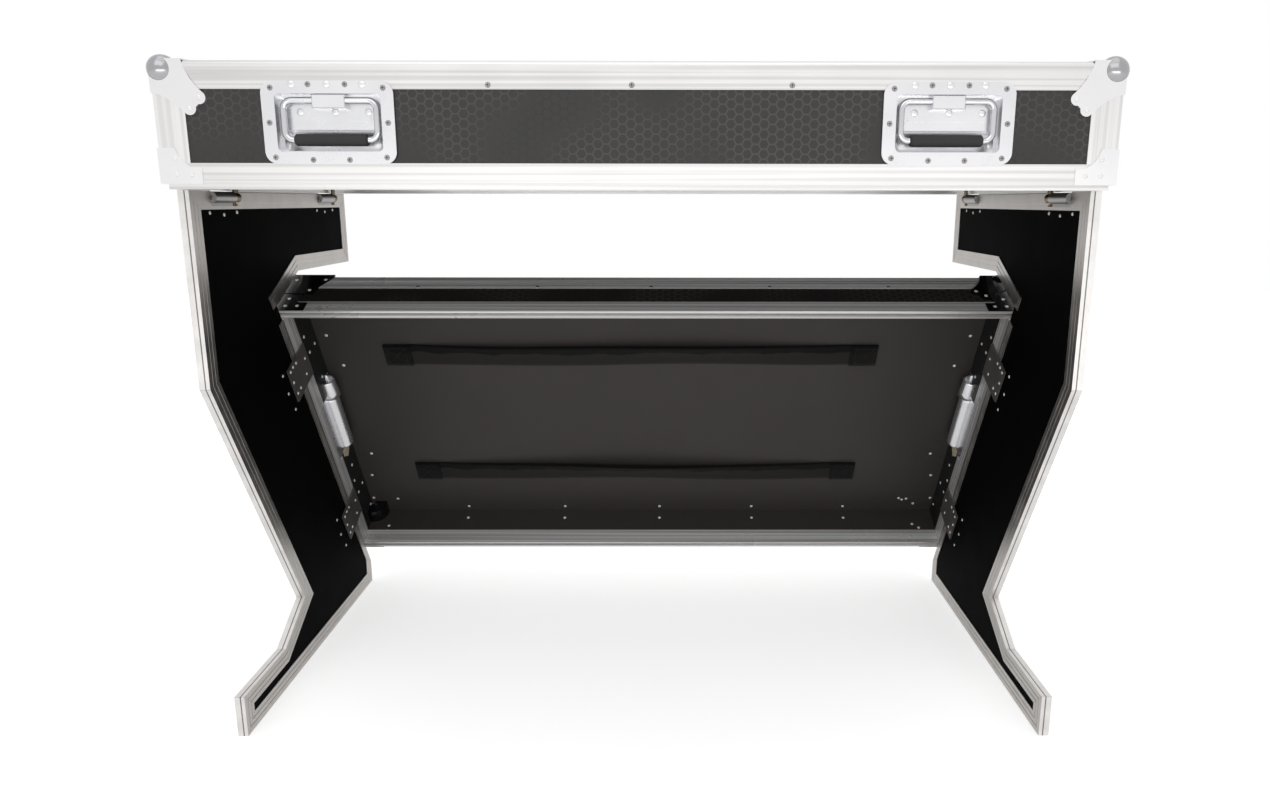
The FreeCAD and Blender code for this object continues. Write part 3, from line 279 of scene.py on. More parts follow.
# Zinc-plated corner: satin leaves and a polished ball painted darker, a painted reflection of dark surroundings.
def ballCorner(name, leaf, ballShade):
    material, tree = newMaterial(name)
    point = localFrame(tree, False)[0]
    inset = cornerBall["inset"]
    centre = (halfWidth - inset, booth["depth"] / 2 - inset, booth["height"] - inset)
    folded = addNode(tree, "ShaderNodeVectorMath", {0: point}, operation="ABSOLUTE")
    reach = addNode(tree, "ShaderNodeVectorMath", {0: folded, 1: centre}, operation="DISTANCE")
    onBall = addNode(tree, "ShaderNodeMath", {0: reach.outputs["Value"], 1: cornerBall["radius"]},
                     operation="LESS_THAN")
    cloud = addNode(tree, "ShaderNodeTexNoise", {"Vector": point, "Scale": 1 / cornerBall["cloudMm"], "Detail": 4.0})
    # painted reflection: the ball takes the darker colour
    tint = addNode(tree, "ShaderNodeMix", {0: onBall, 6: colour(leaf), 7: colour(ballShade)}, data_type="RGBA")
    rough = addNode(tree, "ShaderNodeMath", {0: cloud, 1: 0.12, 2: 0.26}, operation="MULTIPLY_ADD")
    rough = addNode(tree, "ShaderNodeMath", {0: onBall, 1: -0.12, 2: rough}, operation="MULTIPLY_ADD")
    bump = addNode(tree, "ShaderNodeBump", {"Height": cloud, "Strength": 0.05, "Distance": 0.001})
    setSurface(tree, {"Base Color": tint, "Metallic": 0.95, "Roughness": rough, "Normal": bump})
    return material


webbing = {"ribMm": 1.2, "threadMm": 0.7, "wanderMm": 60.0, "shadowWander": 24.0, "shadowFrom": 2.0, "shadowTo": 5.0,
           "shadowHex": "#010101"}


# Polypropylene webbing: a herringbone of threads about a millimetre wide, dull with a little sheen,
# and painted near black along its upper edge: a painted shadow of the dark gap behind the lifted edge.
def wovenWebbing(name, full, dull):
    material, tree = newMaterial(name)
    uv = addNode(tree, "ShaderNodeUVMap", uv_map="weave")
    axes = addNode(tree, "ShaderNodeSeparateXYZ", {0: uv}).outputs
    ribs = addNode(tree, "ShaderNodeMath", {0: axes[1], 1: webbing["ribMm"]}, operation="PINGPONG")
    slant = addNode(tree, "ShaderNodeMath", {0: axes[0], 1: ribs}, operation="ADD")
    slant = addNode(tree, "ShaderNodeMath", {0: slant, 1: webbing["threadMm"]}, operation="PINGPONG")
    thread = addNode(tree, "ShaderNodeMath", {0: ribs, 1: slant}, operation="MULTIPLY")
    wander = addNode(tree, "ShaderNodeTexNoise", {"Vector": uv, "Scale": 1 / webbing["wanderMm"], "Detail": 2.0})
    # painted shadow: a near-black band along the upper edge, wandering in width
    shadowBand = addNode(tree, "ShaderNodeMath", {0: wander, 1: -webbing["shadowWander"], 2: axes[1]},
                  operation="MULTIPLY_ADD")
    shadowBand = addNode(tree, "ShaderNodeMapRange", {0: shadowBand, 1: webbing["shadowFrom"], 2: webbing["shadowTo"]},
                  interpolation_type="SMOOTHSTEP")
    tint = addNode(tree, "ShaderNodeMix", {0: thread, 6: colour(dull), 7: colour(full)}, data_type="RGBA")
    tint = addNode(tree, "ShaderNodeMix", {0: shadowBand, 6: colour(webbing["shadowHex"]), 7: tint}, data_type="RGBA")
    bump = addNode(tree, "ShaderNodeBump", {"Height": thread, "Strength": 0.5, "Distance": 0.0006})
    setSurface(tree, {"Base Color": tint, "Roughness": 0.85, "Normal": bump, "Specular IOR Level": 0.2,
                      "Sheen Weight": 0.05})
    return material


trayMiddle = (0.0, 0.0, booth["height"] - booth["trayHeight"] / 2)
shellMiddle = (0.0, 0.0, booth["shellDepth"] / 2)
materials = {
    "trayRail": drawnAluminium("drawn_aluminium_tray", "#e6e5e4", "#c8c7c6", 0.9, 0.34),
    "trayPost": drawnAluminium("drawn_aluminium_tray_posts", "#e8e7e6", "#d2d1d0", 0.9, 0.34, upright=True),
    # The shell's rails are painted brighter than the same aluminium on the tray, white and barely metallic: painted
    # light standing in for light they would catch.
    "shellRail": drawnAluminium("drawn_aluminium_shell_back", "#ffffff", "#a5a29f", 0.15, 0.3, onShell=True),
    "shellRim": drawnAluminium("drawn_aluminium_shell_rim", "#ffffff", "#bab7b4", 0.3, 0.3, onShell=True),
    "legRail": millAluminium("mill_aluminium_legs", "#e0dddb", "#bcb8b4"),
    "trayBoard": hexLaminate("hexagon_laminate_tray", False, trayMiddle, "#171615"),
    # The inner faces are one plain dark laminate: the shell's is painted lighter as painted light, and the legs' near
    # black as painted shade.
    "shellBoard": hexLaminate("hexagon_laminate_shell", True, shellMiddle, "#3a3634", gloss=0.35),
    "shellEndBoard": hexLaminate("hexagon_laminate_shell_ends", True, shellMiddle, "#131212", sawnEdges=True),
    "legBoard": hexLaminate("hexagon_laminate_legs", False, (0.0, 0.0, 0.0), "#020202", gloss=0.04,
                            roughness=0.75, sawnEdges=True),
    # bright hardware: satin pans, a polished bar, and corners whose balls are painted darker as a painted reflection
    "dish": plainFinish("pressed_zinc_plate", "#e6e6e8", "#d8d8db", 0.9, 0.28, 60.0, 3.0, 0.01),
    "bar": plainFinish("plated_round_bar", "#d6d6d9", "#c2c2c6", 1.0, 0.16, 40.0, 1.0, 0.01),
    "corner": ballCorner("zinc_plated_corner", "#e4e3e4", "#a6a6a9"),
    # dark hardware: glossy black corners and smoky joint plates
    "blackSteel": plainFinish("black_coated_steel", "#0a0b0e", "#050506", 0.0, 0.24, 40.0, 0.8, 0.06, coat=0.4),
    "gunmetal": plainFinish("dark_nickel_plate", "#8a8581", "#6d6966", 0.6, 0.36, 22.0, 0.8, 0.05),
    # hinges and fastenings: brassy lugs, grey steel, white rivet heads, and painted shade for the screws' recesses
    # and the troughs' open mouths
    "yellowZinc": plainFinish("yellow_zinc", "#7d6a49", "#63543b", 1.0, 0.4, 12.0, 0.8, 0.04),
    "steel": plainFinish("zinc_steel", "#a9a7a5", "#8f8d8b", 0.9, 0.4, 14.0, 0.8, 0.03),
    "rivet": plainFinish("aluminium_rivet", "#ffffff", "#f3f2f1", 0.1, 0.2, 10.0, 0.6, 0.02),
    "hollowShade": plainFinish("painted_hollow_shade", "#1b1b1c", "#131314", 0.6, 0.5, 6.0, 0.5, 0.05),
    # soft and sawn: grainy dull rubber, woven black cloth and its thread, pale open ply
    "rubber": plainFinish("grip_rubber", "#2b2a2b", "#232223", 0.0, 0.68, 12.0, 0.9, 0.25),
    "tyre": plainFinish("wheel_rubber", "#171717", "#101010", 0.0, 0.62, 12.0, 0.9, 0.22),
    "webbing": wovenWebbing("black_webbing", "#3f3b39", "#1e1c1b"),
    "sewnWebbing": wovenWebbing("sewn_black_webbing", "#201e1d", "#0c0b0b"),
    "thread": plainFinish("sewing_thread", "#1c1b1b", "#131313", 0.0, 0.6, 5.0, 0.3, 0.2),
    "ply": plainFinish("sawn_birch_ply", "#e6dac4", "#b7a182", 0.0, 0.8, 6.0, 0.7, 0.2),
}


def materialFor(name):
    endings = {"_grip": "rubber", "_tilt_wheel": "tyre", "_bail": "bar", "_dish": "dish", "_clip": "dish",
               "_leg_panel": "legBoard", "_joint_plates": "gunmetal", "_hinge_lugs": "yellowZinc",
               "_knuckles": "steel", "_pins": "steel", "_axles": "steel", "_strap": "webbing",
               "_anchors": "webbing", "_housings": "blackSteel", "tray_corner_posts": "trayPost",
               "shell_corner_posts": "blackSteel", "shell_rim_rails": "shellRim"}
    for ending, finish in endings.items():
        if name.endswith(ending):
            return finish
    if name in ("shell_left_panel", "shell_right_panel"):
        return "shellEndBoard"
    if name.endswith(("_panel", "_deck", "_sheet")):
        return "shellBoard" if name.startswith("shell") else "trayBoard"
    if name.endswith(("_ball_corners", "_rim_braces")):
        return "blackSteel" if name.startswith("shell") else "corner"
    if name.startswith("shell"):
        return "shellRail"
    return "legRail" if "_leg_" in name else "trayRail"


for name, node in nodes.items():
    node.data.materials.clear()
    node.data.materials.append(materials[materialFor(name)])
print("materials:", len(materials))


def meshPiece(name, mesh):
    piece = bpy.data.objects.new(name, mesh)
    bpy.context.scene.collection.objects.link(piece)
    return piece


# Keeps a form as a piece with its finishes. A closed form has its faces turned outward first.
def formPiece(name, form, finishes, closed=True):
    if closed:
        bmesh.ops.recalc_face_normals(form, faces=form.faces)
    mesh = bpy.data.meshes.new(name)
    form.to_mesh(mesh)
    form.free()
    for finish in finishes:
        mesh.materials.append(materials[finish])
    return meshPiece(name, mesh)


# Sets a tree's named inputs, keeps the result as a plain mesh and drops the modifier.
def runTree(piece, tree, values):
    modifier = piece.modifiers.new("made", "NODES")
    modifier.node_group = tree
    for item in tree.interface.items_tree:
        if item.in_out == "INPUT" and item.name in values:
            modifier[item.identifier] = values[item.name]
    bpy.context.view_layer.update()
    made = bpy.data.meshes.new_from_object(piece.evaluated_get(bpy.context.evaluated_depsgraph_get()))
    piece.modifiers.remove(modifier)
    piece.data = made


def newTree(name, sockets):
    tree = bpy.data.node_groups.new(name, "GeometryNodeTree")
    tree.interface.new_socket("Geometry", in_out="INPUT", socket_type="NodeSocketGeometry")
    for label, kind in sockets.items():
        tree.interface.new_socket(label, in_out="INPUT", socket_type="NodeSocket" + kind)
    tree.interface.new_socket("Geometry", in_out="OUTPUT", socket_type="NodeSocketGeometry")
    return tree, addNode(tree, "NodeGroupInput").outputs


headForm = {"segments": 14, "rings": 8, "sides": 20, "topRadius": 0.74, "bar": 0.2, "barHeight": 0.3, "barUp": 0.9}


# Heads on points, each turned the way its face looks: a dome, or a flat head with a dark cross of painted shade
# standing on it in place of a recess.
def headTree(name, crossed):
    tree, given = newTree(name, {"Radius": "Float", "Height": "Float", "Metal": "Material", "HollowShade": "Material"})
    facing = addNode(tree, "GeometryNodeInputNamedAttribute", {"Name": "facing"}, data_type="FLOAT_VECTOR")
    turn = addNode(tree, "FunctionNodeAlignRotationToVector", {"Vector": facing}, axis="Z").outputs[0]
    radius, height = given["Radius"], given["Height"]
    size = addNode(tree, "ShaderNodeCombineXYZ", {0: radius, 1: radius, 2: height}).outputs[0]

    def spread(shape, metal):
        put = addNode(tree, "GeometryNodeInstanceOnPoints",
                      {"Points": given["Geometry"], "Instance": shape, "Rotation": turn, "Scale": size}).outputs[0]
        real = addNode(tree, "GeometryNodeRealizeInstances", {"Geometry": put}).outputs[0]
        return addNode(tree, "GeometryNodeSetMaterial", {"Geometry": real, "Material": metal}).outputs[0]

    if not crossed:
        dome = addNode(tree, "GeometryNodeMeshUVSphere",
                       {"Segments": headForm["segments"], "Rings": headForm["rings"], "Radius": 1.0}).outputs[0]
        smooth = addNode(tree, "GeometryNodeSetShadeSmooth", {"Geometry": dome}).outputs[0]
        addNode(tree, "NodeGroupOutput", {0: spread(smooth, given["Metal"])})
        return tree
    head = addNode(tree, "GeometryNodeMeshCone", {"Vertices": headForm["sides"], "Radius Top": headForm["topRadius"],
                                                  "Radius Bottom": 1.0, "Depth": 1.0})
    # painted shade: dark bars standing on the head where its cross recess would be in shade
    cross = addNode(tree, "GeometryNodeJoinGeometry")
    for long, wide in ((1.0, headForm["bar"]), (headForm["bar"], 1.0)):
        bar = addNode(tree, "GeometryNodeMeshCube", {"Size": (long, wide, headForm["barHeight"])})
        raised = addNode(tree, "GeometryNodeTransform",
                         {"Geometry": bar.outputs[0], "Translation": (0, 0, headForm["barUp"])})
        tree.links.new(raised.outputs[0], cross.inputs[0])
    both = addNode(tree, "GeometryNodeJoinGeometry")
    tree.links.new(spread(head.outputs[0], given["Metal"]), both.inputs[0])
    tree.links.new(spread(cross.outputs[0], given["HollowShade"]), both.inputs[0])
    addNode(tree, "NodeGroupOutput", {0: both.outputs[0]})
    return tree


domeTree = headTree("dome_heads", False)
screwTree = headTree("cross_heads", True)


# Heads of one size, a radius and a height, each a point and the way it looks.
def setHeads(name, body, tree, size, metal, heads):
    mesh = bpy.data.meshes.new(name)
    mesh.from_pydata([point for point, way in heads], [], [])
    facing = mesh.attributes.new("facing", "FLOAT_VECTOR", "POINT")
    for item, (point, way) in zip(facing.data, heads):
        item.vector = way
    piece = meshPiece(name, mesh)
    radius, height = size
    runTree(piece, tree, {"Radius": radius * mm, "Height": height * mm, "Metal": materials[metal],
                          "HollowShade": materials["hollowShade"]})
    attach(piece, body)
    print("heads:", name, len(heads))


# Rivets of the corner pieces, from a corner's two edges: on its leaves and on the rim's braces.
cornerRivets = {"leaf": ((58, 45), (45, 58)), "brace": ((19.6, 31.7), (19.6, 11.6), (38.6, 11.6))}

# Fasteners of the tray, in millimetres from a dish's centre or the tray's middle.
trayHeads = {"dishX": 388, "dishScrews": ((70, 42), (70, -42), (74, 0), (23, 46), (23, -45)),
             "rimBumps": ((-44, 46), (0, 46), (44, 46)),
             "floorBumps": ((-40, 14), (4, 14), (46, 14)), "floorDepth": 12,
             "railX": (-390, -188, -9, 191, 390), "railDrop": 29,
             "rivet": (3.3, 1.3), "screw": (3.6, 1.2), "bump": (4.4, 0.9)}  # radius and height
wall, step, top = booth["wall"], booth["railStep"], booth["height"]
rim, middle = top - booth["trayHeight"], top - booth["trayHeight"] / 2
rearward, upward = Vector((0, -1, 0)), Vector((0, 0, 1))


# The depth of a point that lies y in from the tray's rear face, or from its front face.
def depthFrom(end, y):
    return y if end < 0 else booth["depth"] - y


rivets, screws, bumps = [], [], []
for end in (-1, 1):
    for x in trayHeads["railX"]:
        screws.append((trayPoint(x, depthFrom(end, step), top - trayHeads["railDrop"]), Vector((0, end, 0))))
for side in (-1, 1):
    for end in (-1, 1):
        faceX, wayX = side * (halfWidth + wall), Vector((side, 0, 0))
        faceY, wayY = depthFrom(end, -wall), Vector((0, end, 0))
        for far, near in cornerRivets["leaf"]:
            x = side * (halfWidth - far)
            rivets.append((trayPoint(x, faceY, top - near), wayY))
            rivets.append((trayPoint(faceX, depthFrom(end, far), top - near), wayX))
            rivets.append((trayPoint(x, depthFrom(end, near), top + wall), upward))
        for far, up in cornerRivets["brace"]:
            rivets.append((trayPoint(side * (halfWidth - far), faceY, rim + up), wayY))
            rivets.append((trayPoint(faceX, depthFrom(end, far), rim + up), wayX))
    centre = side * trayHeads["dishX"]
    spots = sorted({(sign * x, z) for sign in (-1, 1) for x, z in trayHeads["dishScrews"]})
    screws += [(trayPoint(centre + x, -wall, middle + z), rearward) for x, z in spots]
    for depth, spots in ((-wall, trayHeads["rimBumps"]), (trayHeads["floorDepth"], trayHeads["floorBumps"])):
        bumps += [(trayPoint(centre + x, depth, middle + z), rearward) for x, z in spots]
setHeads("trayRivets", "tray", domeTree, trayHeads["rivet"], "rivet", rivets)
setHeads("trayScrews", "tray", screwTree, trayHeads["screw"], "steel", screws)
setHeads("dishBumps", "tray", domeTree, trayHeads["bump"], "dish", bumps)

# Rivets of a leg: under its hinges, beside the joint plates, and on the plates down the shell's rim.
legHeads = {"hinge": ((80, 766), (118, 763), (155, 766), (442, 766), (477, 763), (513, 766)),
            "board": ((252, 503), (267, 470), (288, 439), (419, 192), (432, 158), (452, 128)), "plates": (89, 452),
            "plate": ((8, -15), (6, -28), (7, -40), (28, -42), (52, -27), (52, -41), (49, 6), (24, 17)),
            "rivet": (2.7, 1.2)}
legs = ((-1, "left_leg"), (1, "right_leg"))
for side, body in legs:
    inward = Vector((-side, 0, 0))
    face = side * (halfWidth - booth["skin"])
    rivets = [(trayPoint(face, y, z), inward) for y, z in legHeads["hinge"] + legHeads["board"]]
    face = side * (halfWidth - booth["skin"] - wall - booth["plate"])
    for start in legHeads["plates"]:
        rivets += [(shellPoint(face, start + y, z), inward) for y, z in legHeads["plate"]]
    setHeads(body + "Rivets", body, domeTree, legHeads["rivet"], "rivet", rivets)

# Hinge leaf: a pressed strip let along the top of each leg between its two hinges.
hingeLeaf = {"outline": ((152.0, 778.5), (441.0, 778.5), (441.0, 794.5), (152.0, 794.5)), "thick": 1.2,
             "round": 0.5, "segments": 2}
for side, body in legs:
    face = halfWidth - booth["skin"] - wall
    form = bmesh.new()
    outer, inner = [[form.verts.new(trayPoint(side * (face - deep), y, z)) for y, z in hingeLeaf["outline"]]
                    for deep in (0.0, hingeLeaf["thick"])]
    form.faces.new(outer)
    form.faces.new(inner)
    for i in range(len(outer)):
        form.faces.new((outer[i], outer[i - 1], inner[i - 1], inner[i]))
    piece = formPiece(body + "HingeLeaf", form, ["legRail"])
    softened = piece.modifiers.new("softened", "BEVEL")
    softened.width = hingeLeaf["round"] * mm
    softened.segments = hingeLeaf["segments"]
    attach(piece, body)
print("hinge leaves:", len(legs))

# Fasteners of the shell in its own frame: down each end wall, on the floor, along the bottom wall,
# on the castor brackets, the black corners and braces, and in the back rails.
shellHeads = {"wall": ((89, 46), (125, 74), (124, 48), (191, 61), (418, 58), (451, 47), (487, 74), (486, 48),
                       (557, 78)),
              "floor": ((573, 117), (559, 186), (573, 478), (585, 547), (535, 550), (560, 415)),
              "cornerFloor": ((519, 548), (526, 553), (552, 565)),
              "cornerWall": ((546, 49), (558, 39), (-551, 44)),
              "pairX": (-389, -185, 15, 210, 404), "floorPair": (574, 86.5), "wallPair": (586.5, 66),
              "bracket": ((62, 13), (45, 44), (14, 14)), "railX": (-384, -184, 6, 205, 404), "railDrop": 31,
              "rivet": (3.0, 1.2), "screw": (3.0, 1.1)}  # radius and height
floorDepth = booth["shellDepth"] - booth["skin"]
deep, tall = booth["shellDepth"], booth["depth"]
upperAndLower = ((-wall, -along), (tall + wall, along))
rivets, screws = [], []
for side in (-1, 1):
    inward = Vector((-side, 0, 0))
    rivets += [(shellPoint(side * (halfWidth - booth["skin"]), y, z), inward) for y, z in shellHeads["wall"]]
    rivets += [(shellPoint(side * x, y, floorDepth), -outward) for x, y in shellHeads["floor"]]
    for far, up in cornerRivets["brace"]:
        rivets += [(shellPoint(side * (halfWidth - far), y, up), way) for y, way in upperAndLower]
        rivets += [(shellPoint(side * (halfWidth + wall), y, up), -inward) for y in (far, tall - far)]
(floorY, floorZ), (wallY, wallZ) = shellHeads["floorPair"], shellHeads["wallPair"]
for x in shellHeads["pairX"]:
    rivets.append((shellPoint(x, floorY, floorZ), -outward))
    rivets.append((shellPoint(x, wallY, wallZ), -along))
rivets += [(shellPoint(x, y, floorDepth), -outward) for x, y in shellHeads["cornerFloor"]]
rivets += [(shellPoint(x, wallY, z), -along) for x, z in shellHeads["cornerWall"]]
for x in shellHeads["railX"]:
    screws.append((shellPoint(x, step, deep - shellHeads["railDrop"]), -along))
    screws.append((shellPoint(x, tall - step, deep - shellHeads["railDrop"]), along))
for x, z in shellHeads["bracket"]:
    rivets += [(shellPoint(-halfWidth + x, y, deep - z), way) for y, way in upperAndLower]
for far, near in cornerRivets["leaf"]:
    rivets += [(shellPoint(halfWidth - far, y, deep - near), way) for y, way in upperAndLower]
    for y in (far, tall - far):
        rivets.append((shellPoint(halfWidth + wall, y, deep - near), Vector((1, 0, 0))))
        rivets.append((shellPoint(halfWidth - near, y, deep + wall), outward))
setHeads("shellRivets", "shell", domeTree, shellHeads["rivet"], "rivet", rivets)
setHeads("shellScrews", "shell", screwTree, shellHeads["screw"], "steel", screws)

# End handles seen from inside: each trough runs up into a rolled mouth, and bare ply shows where the
# window in the board is cut past it.
mouth = {"axisIn": 4.0, "z": 62.5, "turns": 28, "edgeThick": 0.6,
         "profile": ((238, 16.4), (227, 16.2), (220, 15.2), (202, 14.6), (199.5, 13.6), (200.5, 11.4), (226, 11.0)),
         "ply": ((366, 44), (376, 40), (390, 56), (376, 72), (376, 82), (366, 84)),
         "plate": ((196, 70), (214, 66), (222, 84), (200, 84))}
shellEnds = ((-1, "left"), (1, "right"))
for side, label in shellEnds:
    form = bmesh.new()
    face = side * (halfWidth - booth["skin"])
    rings = []
    for y, radius in mouth["profile"]:
        ring = []
        for i in range(mouth["turns"]):
            angle = 2 * math.pi * i / mouth["turns"]
            x = face - side * (mouth["axisIn"] + radius * math.cos(angle))
            ring.append(form.verts.new(shellPoint(x, y, mouth["z"] + radius * math.sin(angle))))
        rings.append(ring)
    for a, b in zip(rings, rings[1:]):
        for i in range(mouth["turns"]):
            form.faces.new((a[i - 1], a[i], b[i], b[i - 1])).smooth = True
    form.faces.new(rings[0])
    # painted shade: the open end of the mouth is closed with a dark disc where the tube's inside would be in shadow
    form.faces.new(rings[-1]).material_index = 1
    piece = formPiece(label + "TroughMouth", form, ["dish", "hollowShade"])
    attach(piece, "shell")
    form = bmesh.new()
    for index, outline in enumerate((mouth["ply"], mouth["plate"])):
        low = [form.verts.new(shellPoint(face, y, z)) for y, z in outline]
        high = [form.verts.new(shellPoint(face - side * mouth["edgeThick"], y, z)) for y, z in outline]
        made = [form.faces.new(low), form.faces.new(high)]
        made += [form.faces.new((low[i - 1], low[i], high[i], high[i - 1])) for i in range(len(low))]
        for each in made:
            each.material_index = index
    piece = formPiece(label + "WindowEdge", form, ["ply", "dish"])
    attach(piece, "shell")
print("end handle windows:", len(shellEnds))

# Straps: webbing that stands off the overhanging floor along its upper edge. Each end is folded back
# and sewn down in a crossed box.
straps = [
    {"name": "upperStrap", "node": "shell_upper_strap", "start": 136.5, "gape": 15, "sway": 2.4, "phase": 0.4},
    {"name": "lowerStrap", "node": "shell_lower_strap", "start": 439, "gape": 17, "sway": 3.0, "phase": 2.2},
]
strapForm = {"left": -429, "right": 364, "width": 45, "thickness": 1.8, "lengthSteps": 110, "widthSteps": 8,
             "tuck": 30, "flatEnd": 0.06, "slackPower": 0.7, "lift": 1.4, "lowerGape": 3.0, "curl": 1.4,
             "waves": 11, "waveShare": 0.3, "swayWaves": 7}


# A ribbon from rows of a run along the cloth and the points across it, with the weave's lengths in
# its own map.
def ribbon(name, rows, cloth):
    form = bmesh.new()
    weave = form.loops.layers.uv.new("weave")
    made = [[form.verts.new(point) for point in points] for run, points in rows]
    runs = [run for run, points in rows]
    part = strapForm["width"] / strapForm["widthSteps"]
    for fromRun, toRun, a, b in zip(runs, runs[1:], made, made[1:]):
        for j in range(strapForm["widthSteps"]):
            face = form.faces.new((a[j], a[j + 1], b[j + 1], b[j]))
            face.smooth = True
            corners = ((fromRun, j), (fromRun, j + 1), (toRun, j + 1), (toRun, j))
            for loop, (run, place) in zip(face.loops, corners):
                loop[weave].uv = (run, place * part)
    piece = formPiece(name, form, [cloth], closed=False)
    thick = piece.modifiers.new("thick", "SOLIDIFY")
    thick.thickness = strapForm["thickness"] * mm
    thick.offset = 0
    return piece


def makeStrap(strap):
    rows = []
    left, right = strapForm["left"] - strapForm["tuck"], strapForm["right"] + strapForm["tuck"]
    flat, share = strapForm["flatEnd"], strapForm["waveShare"]
    for i in range(strapForm["lengthSteps"] + 1):
        run = i / strapForm["lengthSteps"]
        x = left + (right - left) * run
        free = min(1, max(0, run * (1 + 2 * flat) - flat))
        slack = max(0.0, math.sin(math.pi * free)) ** strapForm["slackPower"]
        wave = 0.5 + 0.5 * math.sin(strapForm["waves"] * run + strap["phase"])
        upper = strapForm["lift"] + strap["gape"] * slack * (1 - share + share * wave)
        lower = strapForm["lift"] + strapForm["lowerGape"] * slack * (1 - wave)
        shift = strap["start"] + strap["sway"] * slack * math.sin(strapForm["swayWaves"] * run + strap["phase"])
        row = []
        for j in range(strapForm["widthSteps"] + 1):
            part = j / strapForm["widthSteps"]
            lift = upper * (1 - part) ** strapForm["curl"] + lower * part
            row.append(shellPoint(x, shift + strapForm["width"] * part, floorDepth - lift))
        rows.append((x, row))
    piece = ribbon(strap["name"], rows, "webbing")
    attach(piece, "shell")
    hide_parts(strap["node"])


# A sewn end: the fold in runs from the strap and lifts off the floor, and a crossed box of stitches.
strapEnd = {"fold": ((0, 0.6), (24, 0.6), (45, 0.6), (47, 1.2), (47.6, 2.2), (47, 3.2), (45, 3.7), (24, 4.0),
                     (8, 4.1), (3, 4.5), (0, 5.2)),
            "box": ((8, 5), (43, 5), (43, 40), (8, 40)), "seams": ((0, 1), (1, 2), (2, 3), (3, 0), (0, 2), (1, 3)),
            "stitch": 2.6, "gap": 3.6, "threadShare": 0.4, "beadSegments": 8, "beadRings": 6, "boxLift": 4.0}


# Stitches along a path of edges.
def stitchTree():
    tree, given = newTree("stitches", {"Length": "Float", "Gap": "Float", "Thread": "Material"})
    curve = addNode(tree, "GeometryNodeMeshToCurve", {"Mesh": given["Geometry"]}).outputs[0]
    points = addNode(tree, "GeometryNodeCurveToPoints", {"Curve": curve, "Length": given["Gap"]}, mode="LENGTH")
    bead = addNode(tree, "GeometryNodeMeshUVSphere", {"Segments": strapEnd["beadSegments"],
                                                      "Rings": strapEnd["beadRings"], "Radius": 0.5}).outputs[0]
    thick = addNode(tree, "ShaderNodeMath", {0: given["Length"], 1: strapEnd["threadShare"]}, operation="MULTIPLY")
    size = addNode(tree, "ShaderNodeCombineXYZ", {0: thick, 1: thick, 2: given["Length"]}).outputs[0]
    put = addNode(tree, "GeometryNodeInstanceOnPoints",
                  {"Points": points.outputs["Points"], "Instance": bead,
                   "Rotation": points.outputs["Rotation"], "Scale": size}).outputs[0]
    real = addNode(tree, "GeometryNodeRealizeInstances", {"Geometry": put}).outputs[0]
    painted = addNode(tree, "GeometryNodeSetMaterial", {"Geometry": real, "Material": given["Thread"]}).outputs[0]
    addNode(tree, "NodeGroupOutput", {0: painted})
    return tree


def makeEnds():
    sewn, corners, edges = [], [], []
    thick, widthSteps = strapForm["thickness"], strapForm["widthSteps"]
    for strap in straps:
        for inner, way in ((strapForm["left"], -1), (strapForm["right"], 1)):
            rows, travelled, last = [], 0.0, strapEnd["fold"][0]
            for run, lift in strapEnd["fold"]:
                travelled += math.hypot(run - last[0], lift - last[1])
                last = (run, lift)
                x, z = inner + way * run, floorDepth - thick / 2 - lift
                rows.append((travelled, [shellPoint(x, strap["start"] + strapForm["width"] * j / widthSteps, z)
                                         for j in range(widthSteps + 1)]))
            sewn.append(rows)
            first, z = len(corners), floorDepth - thick * 1.5 - strapEnd["boxLift"]
            corners += [shellPoint(inner + way * run, strap["start"] + y, z) for run, y in strapEnd["box"]]
            edges += [(first + a, first + b) for a, b in strapEnd["seams"]]
    ends = [ribbon("strapEnd%d" % i, rows, "sewnWebbing") for i, rows in enumerate(sewn)]
    for piece in ends:
        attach(piece, "shell")
    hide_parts("strap_anchors")
    mesh = bpy.data.meshes.new("strapStitches")
    mesh.from_pydata(corners, edges, [])
    stitches = meshPiece("strapStitches", mesh)
    runTree(stitches, stitchTree(), {"Length": strapEnd["stitch"] * mm, "Gap": strapEnd["gap"] * mm,
                                     "Thread": materials["thread"]})
    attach(stitches, "shell")


for strap in straps:
    makeStrap(strap)
makeEnds()
print("straps:", len(straps))

# Plain white studio: the floor and the room read as white to the camera and in the metal.
studio = {"floorHalf": 6.0, "floorHex": "#e4e4e4", "floorGlow": 0.62, "skyStrength": 0.6}
scene = bpy.context.scene
scene.view_settings.view_transform = "Standard"


def seenOrMirrored(tree):
    path = addNode(tree, "ShaderNodeLightPath").outputs
    seen = addNode(tree, "ShaderNodeMath", {0: path["Is Camera Ray"], 1: path["Is Glossy Ray"]}, operation="MAXIMUM")
    return addNode(tree, "ShaderNodeMath", {0: seen, 1: path["Is Transmission Ray"]}, operation="MAXIMUM")


world = bpy.data.worlds.new("studio")
scene.world = world
world.use_nodes = True
tree = world.node_tree
tree.nodes.clear()
lit = addNode(tree, "ShaderNodeBackground", {"Color": (1, 1, 1, 1), "Strength": studio["skyStrength"]})
shown = addNode(tree, "ShaderNodeBackground", {"Color": (1, 1, 1, 1), "Strength": 1.0})
pick = addNode(tree, "ShaderNodeMixShader", {0: seenOrMirrored(tree), 1: lit.outputs[0], 2: shown.outputs[0]})
addNode(tree, "ShaderNodeOutputWorld", {0: pick.outputs[0]})

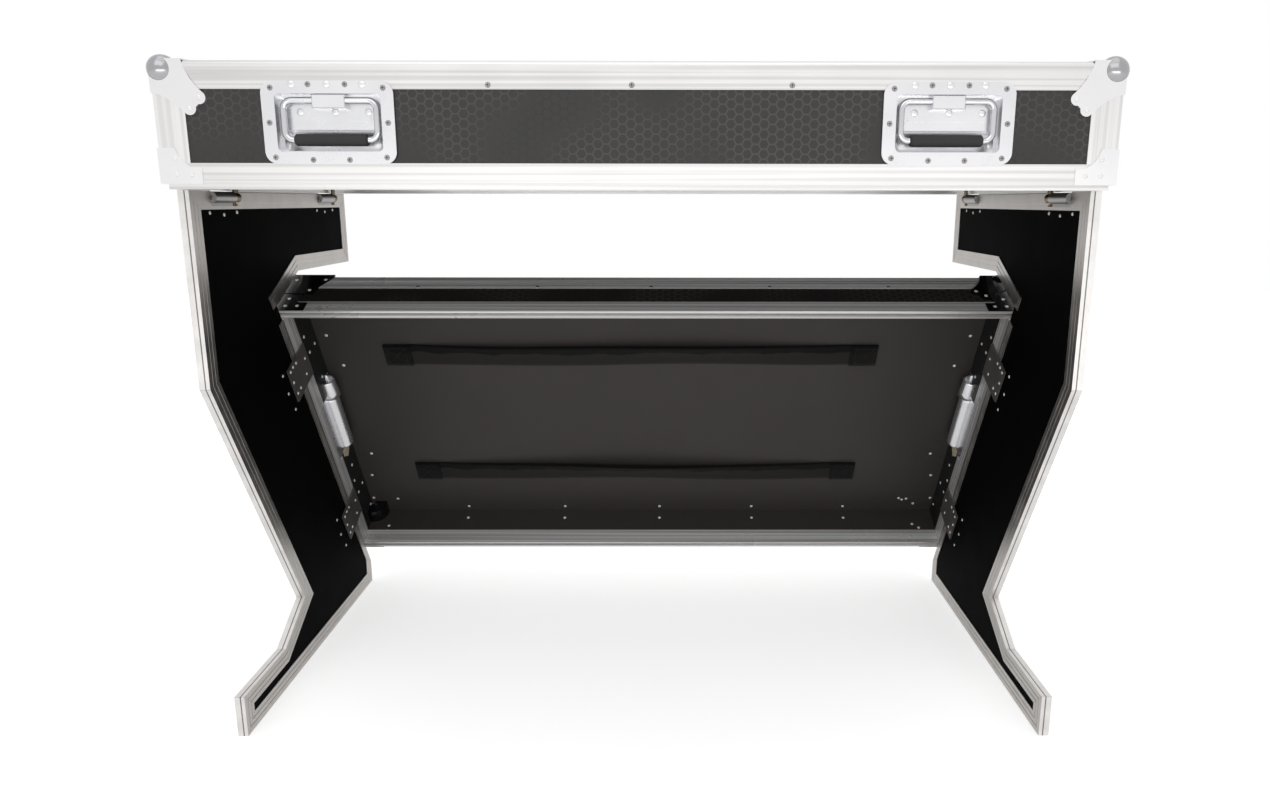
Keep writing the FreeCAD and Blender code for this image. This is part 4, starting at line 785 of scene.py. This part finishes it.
floorMesh = bpy.data.meshes.new("floor")
half = studio["floorHalf"]
floorMesh.from_pydata([(-half, -half, 0), (half, -half, 0), (half, half, 0), (-half, half, 0)], [], [(0, 1, 2, 3)])
floor = meshPiece("floor", floorMesh)
floorMaterial, tree = newMaterial("white_paper_floor")
glow = addNode(tree, "ShaderNodeMath", {0: seenOrMirrored(tree), 1: studio["floorGlow"]}, operation="MULTIPLY")
setSurface(tree, {"Base Color": colour(studio["floorHex"]), "Roughness": 0.9, "Emission Color": (1, 1, 1, 1),
                  "Emission Strength": glow})
floor.data.materials.append(floorMaterial)

lights = [
    {"name": "frontSoftbox", "at": (-0.4, -2.6, 3.0), "to": (0, 0, 0.6), "size": (3.2, 2.0), "power": 17},
    {"name": "topSoftbox", "at": (0.0, -0.3, 3.2), "to": (0, 0, 0.6), "size": (3.0, 2.0), "power": 10},
    {"name": "lowSoftbox", "at": (0.1, -3.0, 0.28), "to": (0, 0, 0.5), "size": (3.4, 0.5), "power": 15},
]
for light in lights:
    lamp = bpy.data.lights.new(light["name"], "AREA")
    lamp.shape = "RECTANGLE"
    lamp.size, lamp.size_y = light["size"]
    lamp.energy = light["power"]
    holder = bpy.data.objects.new(light["name"], lamp)
    holder.location = light["at"]
    aim = Vector(light["to"]) - Vector(light["at"])
    holder.rotation_euler = aim.to_track_quat("-Z", "Y").to_euler()
    scene.collection.objects.link(holder)
print("studio:", len(lights), "lights")

# Camera fitted to the paired legs: pixels of the 1270 by 785 picture.
shot = {"focalPx": 860.0, "centrePx": (675.2, 378.8), "at": (41.4, -1121.1, 782.0),
        "pitchDeg": 11.64, "yawDeg": 0.2, "rollDeg": -0.08, "imagePx": (1270, 785), "sensorMm": 36.0}
wide, high = shot["imagePx"]
camera = bpy.data.cameras.new("camera")
camera.sensor_width = shot["sensorMm"]
camera.lens = shot["focalPx"] * shot["sensorMm"] / wide
camera.shift_x = (wide / 2 - shot["centrePx"][0]) / wide
camera.shift_y = (shot["centrePx"][1] - high / 2) / wide
eye = bpy.data.objects.new("camera", camera)
eye.location = trayPoint(*shot["at"])
eye.rotation_euler = [math.radians(turn) for turn in (90 - shot["pitchDeg"], shot["rollDeg"], -shot["yawDeg"])]
scene.collection.objects.link(eye)
scene.camera = eye
